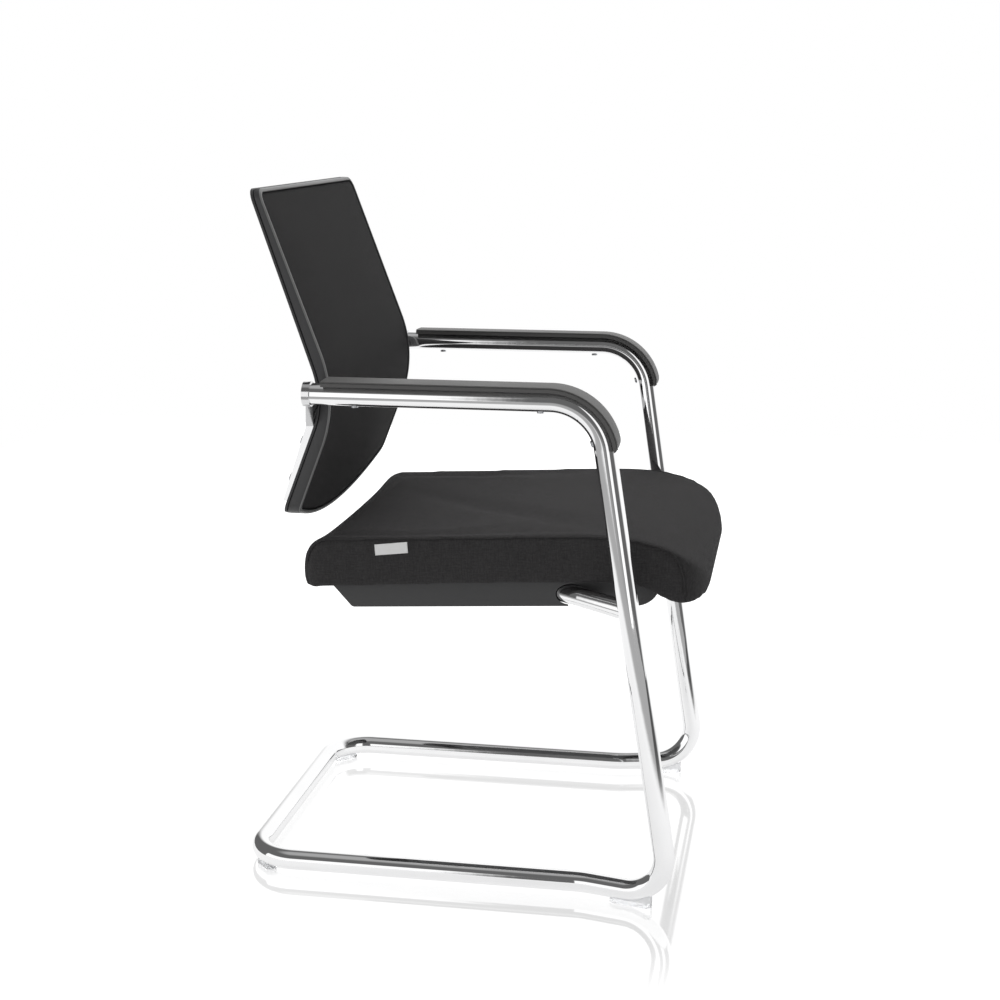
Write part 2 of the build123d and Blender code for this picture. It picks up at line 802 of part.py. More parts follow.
# Seat rails, straight under the seat and turned out to the uprights
for side_name, side in sides.items():
    joint = upright_at(side, seat_rail_joint_z)
    rail_points = [
        seat_point(seat_rail_rear_s, side * seat_rail_y, rail_axis_h),
        seat_point(seat_rail_turn_s, side * seat_rail_y, rail_axis_h),
        seat_point(seat_rail_exit_s, side * seat_rail_exit_y, rail_axis_h),
        joint,
    ]
    with BuildLine() as rail_path:
        FilletPolyline(*rail_points, radius=[seat_rail_bend_radius, seat_rail_tail_radius])
    with BuildPart() as seat_rail:
        with BuildSketch(Plane(origin=rail_points[0], x_dir=(0, 1, 0), z_dir=seat_forward)):
            Circle(seat_rail_dia / 2)
            Circle(seat_rail_dia / 2 - seat_rail_wall, mode=Mode.SUBTRACT)
        sweep(path=rail_path.line)
        add(tube_envelope.part, mode=Mode.SUBTRACT)
    write(seat_rail, f"seat_rail_{side_name}")


seat_side = Plane(origin=seat_point(0, 0, 0), x_dir=seat_forward, z_dir=(0, -1, 0))


def under_profile(wall):
    # Side view of the cover under the seat, or of its hollow when given the wall.
    floor_h = wall - under_depth
    top_h = wall - seat_gap
    lean = (under_rear_bottom - under_rear_top) / (under_depth - seat_gap)
    slant = sqrt(1 + lean**2)
    rear_bottom = under_rear_bottom + wall * (slant - lean)
    rear_top = rear_bottom - lean * (top_h - floor_h)
    front_top = under_front_top - wall
    front_bottom = under_front_bottom - wall * (slant - lean)
    reach = front_top - front_bottom
    belly = (front_bottom + reach * sin(pi / 4), floor_h + (top_h - floor_h) * (1 - cos(pi / 4)))
    with BuildSketch(seat_side) as profile:
        with BuildLine():
            Line((front_top, top_h), (rear_top, top_h))
            FilletPolyline(
                (rear_top, top_h),
                (rear_bottom, floor_h),
                (front_bottom, floor_h),
                radius=under_corner_round - wall,
            )
            ThreePointArc((front_bottom, floor_h), belly, (front_top, top_h))
        make_face()
    return profile.sketch


# Cover under the seat: a shallow pan with posts, cut open where the rails come out
with BuildPart() as seat_under_cover:
    extrude(under_profile(0.0), amount=under_half_width, both=True)
    extrude(
        under_profile(under_wall), amount=under_half_width - under_wall, both=True, mode=Mode.SUBTRACT
    )
    add(cushion_envelope.part, mode=Mode.SUBTRACT)
    for side in sides.values():
        slot_radius = seat_rail_dia / 2 + under_slot_gap
        turn = seat_point(seat_rail_turn_s, side * seat_rail_y, rail_axis_h)
        way = (seat_point(seat_rail_exit_s, side * seat_rail_exit_y, rail_axis_h) - turn).normalized()
        with BuildSketch(Plane(origin=turn + way * under_slot_start, x_dir=seat_up.cross(way), z_dir=way)):
            Circle(slot_radius)
            with Locations((side * (under_slot_heel - slot_radius) / 2, -under_depth / 2)):
                Rectangle(slot_radius + under_slot_heel, under_depth)
        extrude(amount=under_slot_length, mode=Mode.SUBTRACT)
    with BuildSketch(seat_level(-under_depth)):
        with Locations(*under_spots):
            Circle(under_post_dia / 2)
    extrude(amount=under_depth + board_bottom - seat_gap)
    with BuildSketch(seat_level(-under_depth)):
        with Locations(*under_spots):
            Circle(under_screw_dia / 2 + hole_gap)
    extrude(amount=under_depth * 2, mode=Mode.SUBTRACT)
write(seat_under_cover, "seat_under_cover")

# Screws up through the posts into the board
with BuildPart() as under_cover_screws:
    with BuildSketch(seat_level(-under_depth)):
        with Locations(*under_spots):
            Circle(under_screw_head_dia / 2)
    extrude(amount=-under_screw_head_height)
    with BuildSketch(seat_level(-under_depth - under_screw_head_height / 2)):
        with Locations(*under_spots):
            Circle(under_screw_dia / 2)
    extrude(amount=under_depth + under_screw_head_height / 2 + board_bottom + under_screw_bite)
write(under_cover_screws, "under_cover_screws")

# Blank tag on the right side of the seat
label_face = Plane(
    origin=seat_point(label_center_s, -seat_half_width - hole_gap, label_center_h),
    x_dir=seat_forward,
    z_dir=(0, -1, 0),
)
with BuildPart() as seat_label:
    with BuildSketch(label_face):
        Rectangle(label_length, label_height)
    extrude(amount=label_thickness)
write(seat_label, "seat_label")
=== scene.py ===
# Visitor chair: chromed cantilever frame, upholstered seat, padded back and arm pads.
# Metres. +X is the chair's front, +Y the sitter's left and +Z up, with the floor at zero.
from math import cos, pi, radians, sin, sqrt, tan

import bmesh
import bpy
import numpy as np
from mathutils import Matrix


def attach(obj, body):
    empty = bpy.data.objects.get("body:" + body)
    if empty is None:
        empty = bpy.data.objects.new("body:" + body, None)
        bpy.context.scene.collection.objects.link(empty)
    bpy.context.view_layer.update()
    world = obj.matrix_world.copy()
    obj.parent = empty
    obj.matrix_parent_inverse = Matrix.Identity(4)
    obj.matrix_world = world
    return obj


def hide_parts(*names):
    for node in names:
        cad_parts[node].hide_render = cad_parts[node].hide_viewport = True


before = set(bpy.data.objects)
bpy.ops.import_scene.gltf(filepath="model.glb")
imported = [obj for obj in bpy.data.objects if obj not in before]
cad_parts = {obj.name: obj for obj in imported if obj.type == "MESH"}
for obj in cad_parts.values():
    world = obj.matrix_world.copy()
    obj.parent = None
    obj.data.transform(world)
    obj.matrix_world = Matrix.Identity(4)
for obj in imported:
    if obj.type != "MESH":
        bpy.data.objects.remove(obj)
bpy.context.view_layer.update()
scene = bpy.context.scene

# Camera
# Stands off the chair's right side, a little in front of it and above the arms.
# It looks slightly down through a long lens, so that the whole chair is in view.
camera_place = (0.40297, -2.1999, 0.9510)
camera_turn = 10.19
camera_dip = 12.57
camera_lens = 62.37
camera_sensor = 36
camera = bpy.data.objects.new("camera", bpy.data.cameras.new("camera"))
camera.location = camera_place
camera.rotation_euler = (radians(90 - camera_dip), 0, radians(camera_turn))
camera.data.sensor_width = camera_sensor
camera.data.lens = camera_lens
scene.collection.objects.link(camera)
scene.camera = camera


# Frame tube
# One steel tube, bent cold into arms, uprights and floor loop, polished and chrome plated.
# Everything else on the chair is fixed to it.
class Field:
    """A value that a shader node gives. Arithmetic on it adds Math nodes to its finish."""

    def __init__(self, finish, socket):
        self.finish = finish
        self.socket = socket

    def reckon(self, operation, first, second):
        return self.finish.node("ShaderNodeMath", {"operation": operation}, {0: first, 1: second})

    def __add__(self, other):
        return self.reckon("ADD", self, other)

    def __radd__(self, other):
        return self.reckon("ADD", other, self)

    def __sub__(self, other):
        return self.reckon("SUBTRACT", self, other)

    def __rsub__(self, other):
        return self.reckon("SUBTRACT", other, self)

    def __mul__(self, other):
        return self.reckon("MULTIPLY", self, other)

    def __rmul__(self, other):
        return self.reckon("MULTIPLY", other, self)

    def __pow__(self, other):
        return self.reckon("POWER", self, other)


class Finish:
    """A material or surround in the making, with one method that adds any node."""

    def __init__(self, made):
        self.made = made
        made.use_nodes = True
        self.tree = made.node_tree
        self.tree.nodes.clear()

    def node(self, kind, settings, sockets, output=0):
        """Adds a node, makes its settings, sets or links its sockets and gives one of its outputs."""
        node = self.tree.nodes.new(kind)
        for key, value in settings.items():
            setattr(node, key, value)
        for key, value in sockets.items():
            if isinstance(value, Field):
                self.tree.links.new(value.socket, node.inputs[key])
            else:
                node.inputs[key].default_value = value
        return Field(self, node.outputs[output]) if node.outputs else None

    def place(self):
        """Object coordinates in metres."""
        return self.node("ShaderNodeTexCoord", {}, {}, "Object")

    def axis(self, vector, name):
        """One coordinate of a vector."""
        return self.node("ShaderNodeSeparateXYZ", {}, {0: vector}, name)

    def sine(self, value):
        return self.node("ShaderNodeMath", {"operation": "SINE"}, {0: value})

    def ray(self, kind):
        """1 for the kind of ray that sees the surface, and 0 for the others."""
        return self.node("ShaderNodeLightPath", {}, {}, kind)

    def mottle(self, place, size, detail=3.0):
        """Soft noise from 0 to 1 whose patches are about this size in metres."""
        return self.node("ShaderNodeTexNoise", {}, {"Vector": place, "Scale": 1 / size, "Detail": detail})

    def tint(self, share, dark, light):
        """Colour that goes from dark to light as the share goes from 0 to 1."""
        return self.node(
            "ShaderNodeMix",
            {"data_type": "RGBA"},
            {0: share, 6: (*dark, 1.0), 7: (*light, 1.0)},
            2,
        )

    def rise(self, value, low, high):
        """Goes smoothly from 0 at low to 1 at high."""
        return self.node(
            "ShaderNodeMapRange",
            {"interpolation_type": "SMOOTHSTEP"},
            {"Value": value, "From Min": low, "From Max": high},
        )

    def band(self, value, low, high, soft):
        """1 between low and high, and 0 outside, with soft edges."""
        return self.rise(value, low - soft, low + soft) * (1 - self.rise(value, high - soft, high + soft))

    def relief(self, height, depth):
        """Normal of a surface whose height goes over this depth in metres."""
        sockets = {"Height": height, "Distance": depth, "Strength": 1.0}
        return self.node("ShaderNodeBump", {}, sockets, "Normal")

    def close(self, sockets):
        """Ends the material in one Principled surface with these sockets."""
        surface = self.node("ShaderNodeBsdfPrincipled", {}, sockets)
        self.node("ShaderNodeOutputMaterial", {}, {"Surface": surface})
        return self.made


def finish_named(name):
    return Finish(bpy.data.materials.new(name))


def chrome_plate(name, haze, bright):
    """Bright plate: a clear mirror with patches of faint haze and a slight ripple from polishing."""
    finish = finish_named(name)
    place = finish.place()
    wiped = finish.mottle(place, 0.06, 5.0)
    ripple = finish.mottle(place, 0.018, 2.0)
    hazy = (bright - 0.07, bright - 0.07, bright - 0.065)
    clean = (bright, bright, bright + 0.005)
    return finish.close({
        "Base Color": finish.tint(wiped, hazy, clean),
        "Metallic": 1.0,
        "Roughness": 0.03 + haze * wiped ** 2.0,
        "Normal": finish.relief(ripple, 0.00004),
    })


def dress(material, *nodes):
    for node in nodes:
        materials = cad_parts[node].data.materials
        materials.clear()
        materials.append(material)


def piece_from(name, grid, round_rows=False, round_columns=False):
    """Object from a grid of points: each cell is a face, rows or columns may join up, coinciding points
    are merged and the faces point outwards."""
    rows, columns = grid.shape[:2]
    index = np.arange(rows * columns).reshape(rows, columns)
    if round_rows:
        index = np.concatenate([index, index[:1]])
    if round_columns:
        index = np.concatenate([index, index[:, :1]], 1)
    faces = np.stack([index[:-1, :-1], index[:-1, 1:], index[1:, 1:], index[1:, :-1]], -1)
    mesh = bpy.data.meshes.new(name)
    mesh.from_pydata(grid.reshape(-1, 3), [], faces.reshape(-1, 4))
    tidy = bmesh.new()
    tidy.from_mesh(mesh)
    bmesh.ops.remove_doubles(tidy, verts=tidy.verts, dist=1e-6)
    bmesh.ops.recalc_face_normals(tidy, faces=tidy.faces)
    tidy.to_mesh(mesh)
    tidy.free()
    mesh.shade_smooth()
    piece = bpy.data.objects.new(name, mesh)
    scene.collection.objects.link(piece)
    return piece


def bent_line(corners, radii):
    """Line through corners, each rounded by an arc of its own radius that touches both straight runs."""
    corners = np.asarray(corners, float)
    runs = np.diff(corners, axis=0)
    runs = runs / np.linalg.norm(runs, axis=1, keepdims=True)
    line = [corners[:1]]
    for corner, before, after, radius in zip(corners[1:-1], runs[:-1], runs[1:], radii):
        turn = np.arccos(before @ after)
        inward = after - before * (before @ after)
        inward = inward / np.linalg.norm(inward)
        angle = np.linspace(0, turn, 40)[:, None]
        start = corner - before * radius * tan(turn / 2)
        line.append(start + radius * (np.sin(angle) * before + (1 - np.cos(angle)) * inward))
    return np.concatenate(line + [corners[-1:]])


def round_bar(line, radius, count):
    """Circles round a line of points, each square to the line. They are turned about a direction that the
    line never takes."""
    along = np.gradient(line, axis=0)
    along = along / np.linalg.norm(along, axis=1, keepdims=True)
    side = np.cross(along, (0.45, 0.45, 0.77))
    side = side / np.linalg.norm(side, axis=1, keepdims=True)
    other = np.cross(along, side)
    angle = np.linspace(0, 2 * pi, count, endpoint=False)[None, :, None]
    return line[:, None] + radius * (np.cos(angle) * side[:, None] + np.sin(angle) * other[:, None])


def closed_bar(name, rings):
    """Bar from its rings, closed at each end on the middle of the last ring."""
    ends = np.repeat(rings[[0, -1]].mean(1, keepdims=True), rings.shape[1], 1)
    bar = piece_from(name, np.concatenate([ends[:1], rings, ends[1:]]), round_columns=True)
    bar.data.set_sharp_from_angle(angle=radians(50))
    return bar


tube_radius = 0.013
tube_count = 64
arm_half_spacing = 0.250
foot_half_spacing = 0.235
rail_half_spacing = 0.210
arm_rear_x = -0.1730
arm_corner_x = 0.1669
foot_corner_x = 0.2605
flare_x = 0.1485
rear_bar_x = -0.2805
arm_level = 0.6285
floor_rail_level = 0.0175
arm_bend = 0.065
tube_bends = [arm_bend, 0.050, 0.090, 0.055]
half_frame = np.array([
    [arm_rear_x, arm_half_spacing, arm_level],
    [arm_corner_x, arm_half_spacing, arm_level],
    [foot_corner_x, foot_half_spacing, floor_rail_level],
    [flare_x, rail_half_spacing, floor_rail_level],
    [rear_bar_x, rail_half_spacing, floor_rail_level],
])
frame_corners = np.concatenate([half_frame * [1, -1, 1], half_frame[::-1]])
frame_line = bent_line(frame_corners, tube_bends + tube_bends[::-1])
tube_chrome = chrome_plate("tube_chrome", 0.06, 0.97)
bent_tube = closed_bar("bent_tube", round_bar(frame_line, tube_radius, tube_count))
bent_tube.data.materials.append(tube_chrome)
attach(bent_tube, "root")
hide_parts("frame_tube")


# Floor glides
# Pale translucent nylon saddles under the four bends of the floor loop, pressed into the tube from below.
# They are scuffed where they meet the floor.
def glide_nylon():
    """Milky plastic, a little darker and rougher in scuffed patches."""
    finish = finish_named("glide_nylon")
    scuff = finish.mottle(finish.place(), 0.004)
    return finish.close({
        "Base Color": finish.tint(scuff, (0.80, 0.81, 0.82), (0.93, 0.93, 0.94)),
        "Roughness": 0.25 + 0.3 * scuff,
        "Normal": finish.relief(scuff, 0.00005),
        "Transmission Weight": 0.9,
        "IOR": 1.15,
    })


dress(glide_nylon(), "glide_front_left", "glide_front_right", "glide_rear_left", "glide_rear_right")


# Seat rails and straps
# Chromed tubes carry the seat: each is welded to its upright and bent to run in under the seat.
# Two flat bars, painted black, lie across them.
def black_paint():
    """Sprayed paint with a fine orange-peel surface and worn, lighter patches."""
    finish = finish_named("black_paint")
    place = finish.place()
    wear = finish.mottle(place, 0.02)
    return finish.close({
        "Base Color": finish.tint(wear ** 3.0, (0.018, 0.018, 0.019), (0.06, 0.06, 0.06)),
        "Roughness": 0.38 + 0.2 * wear,
        "Normal": finish.relief(finish.mottle(place, 0.0012), 0.00006),
    })


seat_tilt = radians(3.1)
seat_base = 0.3931
seat_rail_radius = 0.012
seat_rail_height = -0.0182
seat_rail_rear = -0.125
seat_rail_turn = 0.085
seat_rail_exit = 0.140
seat_rail_half_spacing = 0.150
seat_rail_exit_spacing = 0.200
seat_rail_joint = 0.380
seat_rail_bends = [0.045, 0.080]
seat_rail_count = 48
sides = {"right": -1, "left": 1}


def on_seat(s, y, h):
    """Points at s along, y across and h above the tilted base plane of the seat."""
    x = s * cos(seat_tilt) - h * sin(seat_tilt)
    z = seat_base + s * sin(seat_tilt) + h * cos(seat_tilt)
    return np.stack(np.broadcast_arrays(x, y, z), -1)


def saddled(rings, axis_point, axis):
    """Rings whose last one is slid along the bar until it meets the round upright that the bar is welded
    to: the nearer root of the quadratic for the distance from the upright's axis."""
    ahead = rings[-1].mean(0) - rings[-2].mean(0)
    ahead = ahead / np.linalg.norm(ahead)
    offset = rings[-2] - axis_point
    offset = offset - (offset @ axis)[:, None] * axis
    across = ahead - (ahead @ axis) * axis
    a = across @ across
    b = offset @ across
    c = (offset ** 2).sum(1) - tube_radius ** 2
    reach = (-b - np.sqrt(b ** 2 - a * c)) / a
    return np.concatenate([rings[:-1], (rings[-2] + reach[:, None] * ahead)[None]])


rail_chrome = chrome_plate("rail_chrome", 0.08, 0.97)
for side_name, side in sides.items():
    upright_top = half_frame[1] * [1, side, 1]
    upright = half_frame[2] * [1, side, 1] - upright_top
    joint = upright_top + upright * (arm_level - seat_rail_joint) / (arm_level - floor_rail_level)
    rail_corners = np.concatenate([
        on_seat(
            np.array([seat_rail_rear, seat_rail_turn, seat_rail_exit]),
            side * np.array([seat_rail_half_spacing, seat_rail_half_spacing, seat_rail_exit_spacing]),
            seat_rail_height,
        ),
        joint[None],
    ])
    rings = round_bar(bent_line(rail_corners, seat_rail_bends), seat_rail_radius, seat_rail_count)
    rings = saddled(rings, upright_top, upright / np.linalg.norm(upright))
    rail = closed_bar("seat_side_rail_" + side_name, rings)
    rail.data.materials.append(rail_chrome)
    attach(rail, "root")
    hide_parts("seat_rail_" + side_name)
strap_paint = black_paint()
dress(strap_paint, "seat_strap_front", "seat_strap_rear")


# Seat board and its fasteners
# Plywood board drawn down on rubber spacers by bolts into tee nuts, with zinc plated steel hardware.
def plywood():
    """Birch veneer: noise drawn out along the board makes the grain, with slow changes of tone."""
    finish = finish_named("plywood")
    place = finish.place()
    along = finish.node("ShaderNodeMapping", {}, {"Vector": place, "Scale": (0.04, 1.0, 1.0)})
    grain = finish.mottle(along, 0.003, 5.0)
    tone = finish.mottle(place, 0.12)
    return finish.close({
        "Base Color": finish.tint(0.7 * grain + 0.3 * tone, (0.42, 0.27, 0.14), (0.68, 0.52, 0.33)),
        "Roughness": 0.55 + 0.25 * grain,
        "Normal": finish.relief(grain, 0.0002),
    })


def zinc_plate():
    """Dull bluish plate with a turned, slightly blotchy surface."""
    finish = finish_named("zinc_plate")
    place = finish.place()
    blotch = finish.mottle(place, 0.003)
    return finish.close({
        "Base Color": finish.tint(blotch, (0.45, 0.46, 0.48), (0.66, 0.67, 0.69)),
        "Metallic": 1.0,
        "Roughness": 0.28 + 0.22 * blotch,
        "Normal": finish.relief(finish.mottle(place, 0.0006), 0.00003),
    })


def soft_rubber():
    """Matt black rubber with a bloom of paler patches."""
    finish = finish_named("soft_rubber")
    bloom = finish.mottle(finish.place(), 0.006)
    return finish.close({
        "Base Color": finish.tint(bloom ** 2.0, (0.012, 0.012, 0.012), (0.05, 0.05, 0.05)),
        "Roughness": 0.7 + 0.2 * bloom,
        "Normal": finish.relief(bloom, 0.0001),
    })


zinc = zinc_plate()
dress(plywood(), "seat_board")
dress(zinc, "seat_tee_nuts", "seat_bolts", "seat_washers")
dress(soft_rubber(), "seat_spacers")


# Seat cushion
# Moulded foam under a black woven cover: one panel runs over the top and down the front, and a band is sewn
# to it along each side. The cover is pulled under the board and stapled.
seat_rear = -0.2055
seat_front = 0.2940
seat_half_width = 0.2085
seat_height = 0.0590
seat_rear_run = 0.034
seat_rear_drop = 0.048
seat_rear_corner = 0.024
seat_rear_foot = 0.007
seat_rear_sag = 0.0035
seat_front_run = 0.165
seat_front_drop = 0.081
seat_front_fullness = 2.4
seat_front_corner_run = 0.028
seat_front_corner = 0.090
seat_lip_drop = 0.027
seat_lip_peak = 0.026
seat_lip_length = 0.100
seat_edge_round = 0.007
seat_foot_round = 0.003
seat_side_bulge = 0.002
seat_dish = 0.010
seat_dish_middle = -0.07
seat_dish_reach = 0.13
seat_dish_edge = 5
seat_rear_fine = 0.04
seat_front_fine = 0.16
seat_round_limit = 0.45
seat_voxel = 0.005
seat_band_edge = 0.008
seat_staple_height = 0.014
front_turn_s = 0.2
front_turn_h = 0.05
band_shift = 1
seam_front_start = 0.150
seam_front_run = 0.1185
seam_rear_start = -0.150
seam_rear_run = 0.0485
seam_foot = -0.016
seam_held = 0.008
seam_zone = 0.03
seam_zone_fade = 0.015
seam_tuck = 0.0012
seam_tuck_offset = 0.002
seam_tuck_width = 0.003
crease_middle = (0.005, -0.030)
crease_turn = radians(46)
crease_length = 0.165
crease_width = 0.022
crease_depth = 0.0050
seat_swell = 0.005
swell_frames = 20
swell_pressure = 4.0
swell_tension = 15.0
swell_bending = 0.5


def rounding(reach, run, height, fullness=2.0):
    """Drop below a level surface towards its rounded end: a quarter of an ellipse, run by height, or of a
    superellipse with another power."""
    share = np.clip(1 - reach / run, 0, 1)
    return height * (1 - (1 - share ** fullness) ** (1 / fullness))


def seat_limits(s):
    """Top, underside and half-width of the seat's section at s: level in the middle, rounded at both ends,
    with a lip under the front that swells and fades like half a cosine wave."""
    t = s - seat_rear
    u = seat_front - s
    top = seat_height - rounding(t, seat_rear_run, seat_rear_drop)
    top = top - rounding(u, seat_front_run, seat_front_drop, seat_front_fullness)
    nose = seat_front_drop - seat_height
    near = np.sqrt(1 - np.clip(1 - u / seat_lip_peak, 0, 1) ** 2)
    far = (1 + np.cos(pi * np.clip((u - seat_lip_peak) / (seat_lip_length - seat_lip_peak), 0, 1))) / 2
    bottom = -np.where(u < seat_lip_peak, nose + (seat_lip_drop - nose) * near, seat_lip_drop * far)
    bottom = bottom - seat_rear_sag * np.clip(s / seat_rear, 0, 1)
    bottom = bottom + rounding(t, seat_rear_foot, seat_rear_foot)
    half = seat_half_width - rounding(t, seat_rear_corner, seat_rear_corner)
    half = half - rounding(u, seat_front_corner_run, seat_front_corner)
    return top, bottom, half


def seat_form():
    """Grid of points, sections from rear to front by a rounded rectangle round each section. The top is
    dished at the rear, the sides bulge, and both ends close on a point."""
    ends = np.linspace(0, pi / 2, 24)
    rear = seat_rear + seat_rear_fine * (1 - np.cos(ends))
    front = seat_front - seat_front_fine * (1 - np.cos(ends[::-1]))
    s = np.concatenate([rear, np.linspace(rear[-1], front[0], 40)[1:-1], front])[:, None]
    side = 10
    corner = 6
    top_run = 60
    under_run = 40
    edge = np.ones(side)
    bend = np.ones(corner)
    across = np.concatenate([
        edge, bend, np.linspace(1, -1, top_run, endpoint=False), -bend, -edge, -bend,
        np.linspace(-1, 1, under_run, endpoint=False), bend,
    ])
    climb = np.linspace(0, 1, side, endpoint=False)
    up = np.concatenate([
        climb, bend, np.ones(top_run), bend, 1 - climb, 0 * bend, np.zeros(under_run), 0 * bend,
    ])
    arc = np.linspace(0, pi / 2, corner, endpoint=False)
    turn = np.concatenate([
        0 * edge, arc, np.full(top_run, pi / 2), arc + pi / 2, 0 * edge + pi, arc + pi,
        np.full(under_run, 3 * pi / 2), arc + 3 * pi / 2,
    ])
    top, bottom, half = seat_limits(s)
    limit = seat_round_limit * (top - bottom)
    bend_radius = np.minimum(np.where(np.sin(turn) < 0, seat_foot_round, seat_edge_round), limit)
    fullness = np.clip((top - bottom) / seat_height, 0, 1)
    dish = seat_dish * np.exp(-((s - seat_dish_middle) / seat_dish_reach) ** 2)
    dish = dish * fullness * (1 - np.abs(across) ** seat_dish_edge)
    y = across * (half - bend_radius) + np.cos(turn) * bend_radius
    y = y + seat_side_bulge * fullness * 4 * up * (1 - up) * np.cos(turn)
    h = bottom + bend_radius + up * (top - bottom - 2 * bend_radius) + np.sin(turn) * bend_radius
    h = h - dish * np.clip(np.sin(turn), 0, 1)
    grid = on_seat(s, y, h)
    ends = grid[[0, -1]].mean(1, keepdims=True) + 0 * grid[[0, -1]]
    return np.concatenate([ends[:1], grid, ends[1:]])


def points_of(mesh):
    flat = np.empty(len(mesh.vertices) * 3)
    mesh.vertices.foreach_get("co", flat)
    return flat.reshape(-1, 3)


def set_points(mesh, points):
    mesh.vertices.foreach_set("co", points.ravel())
    mesh.update()


def settle(piece):
    """Puts the shape that the modifiers give into the mesh and takes them off."""
    bpy.context.view_layer.update()
    shaped = bpy.data.meshes.new_from_object(piece.evaluated_get(bpy.context.evaluated_depsgraph_get()))
    piece.modifiers.clear()
    piece.data = shaped
    shaped.shade_smooth()


def remeshed(piece, voxel):
    remesh = piece.modifiers.new("remesh", "REMESH")
    remesh.mode = "VOXEL"
    remesh.voxel_size = voxel
    settle(piece)


def swell(piece, held, most):
    """Blows the cover up like a filled cushion: cloth under pressure, held where it is sewn or stapled,
    with each point's travel capped."""
    group = piece.vertex_groups.new(name="held")
    for weight in np.unique(held):
        group.add(np.flatnonzero(held == weight).tolist(), float(weight), "REPLACE")
    start = points_of(piece.data)
    cloth = piece.modifiers.new("swell", "CLOTH")
    cloth.settings.use_pressure = True
    cloth.settings.uniform_pressure_force = swell_pressure
    cloth.settings.effector_weights.gravity = 0.0
    cloth.settings.vertex_group_mass = "held"
    cloth.settings.tension_stiffness = swell_tension
    cloth.settings.bending_stiffness = swell_bending
    cloth.point_cache.frame_start = 1
    cloth.point_cache.frame_end = swell_frames
    for step in range(1, swell_frames + 1):
        scene.frame_set(step)
    settle(piece)
    scene.frame_set(1)
    travel = points_of(piece.data) - start
    length = np.linalg.norm(travel, axis=1, keepdims=True)
    set_points(piece.data, start + travel * np.minimum(1, most / np.maximum(length, 1e-9)))
    piece.vertex_groups.clear()


def subdivided(piece, times):
    smooth = piece.modifiers.new("smooth", "SUBSURF")
    smooth.levels = times
    smooth.render_levels = times
    settle(piece)


def seam_height(s):
    """Height of the side seam above the base plane: level along the side, and a superellipse down
    to the underside at each end."""
    ahead = np.clip((s - seam_front_start) / seam_front_run, 0, 1)
    behind = np.clip((seam_rear_start - s) / seam_rear_run, 0, 1)
    front = seam_foot + (seat_height - seam_foot) * (1 - ahead ** 3) ** (1 / 3)
    rear = seat_height * (1 - behind ** 3) ** (1 / 3)
    return np.minimum(front, rear)


def beyond_seam(s, h):
    """Distance outside the side seam in side view, negative on the side band: the superellipse's own
    equation, divided by its slope."""
    ahead = np.clip((s - seam_front_start) / seam_front_run, 0, None)
    behind = np.clip((seam_rear_start - s) / seam_rear_run, 0, None)
    foot = np.where(s > 0, seam_foot, 0)
    rise = np.clip((h - foot) / (seat_height - foot), 0, None)
    value = ahead ** 3 + behind ** 3 + rise ** 3 - 1
    slope_s = 3 * (ahead ** 2 / seam_front_run + behind ** 2 / seam_rear_run)
    slope_h = 3 * rise ** 2 / (seat_height - foot)
    return value / np.maximum(np.hypot(slope_s, slope_h), 3)


def seat_coordinates(points):
    """Points as s along, y across and h above the seat's tilted base plane."""
    x = points[:, 0]
    z = points[:, 2] - seat_base
    return x * cos(seat_tilt) + z * sin(seat_tilt), points[:, 1], z * cos(seat_tilt) - x * sin(seat_tilt)


def lay_weave(piece, u, v):
    """UV map in metres, for the weave, from a place of each vertex on the unrolled cloth."""
    corner = np.empty(len(piece.data.loops), int)
    piece.data.loops.foreach_get("vertex_index", corner)
    layer = piece.data.uv_layers.new(name="weave")
    layer.uv.foreach_set("vector", np.stack([u[corner], v[corner]], 1).astype(np.float32).ravel())


def black_weave(name, pitch, depth):
    """Plain woven polyester: crossed waves of one thread pitch make the over and under of warp and weft,
    slubs and flecks break it up, and the dye varies a little over the panel."""
    finish = finish_named(name)
    cloth = finish.node("ShaderNodeUVMap", {"uv_map": "weave"}, {})
    turns = 2 * pi / pitch
    warp = finish.sine(finish.axis(cloth, "X") * turns)
    weft = finish.sine(finish.axis(cloth, "Y") * turns)
    over = 0.5 + 0.5 * (warp * weft)
    warp_way = finish.node("ShaderNodeMapping", {}, {"Vector": cloth, "Scale": (1.0, 0.12, 1.0)})
    weft_way = finish.node("ShaderNodeMapping", {}, {"Vector": cloth, "Scale": (0.12, 1.0, 1.0)})
    slub = finish.mottle(warp_way, 0.0016) * finish.mottle(weft_way, 0.0016)
    fleck = finish.rise(finish.mottle(cloth, 0.0022), 0.3, 0.7)
    dye = finish.mottle(cloth, 0.09)
    shade = depth * (0.25 * over + 1.6 * slub + 0.2 * dye + 0.25 * fleck)
    return finish.close({
        "Base Color": finish.tint(shade, (0.0125, 0.0120, 0.0122), (0.054, 0.052, 0.053)),
        "Roughness": 0.95 - 0.2 * over,
        "Specular IOR Level": 0.25,
        "Sheen Weight": 0.04,
        "Sheen Roughness": 0.4,
        "Sheen Tint": (0.8, 0.8, 0.82, 1.0),
        "Normal": finish.relief(over + slub, 0.00035),
    })


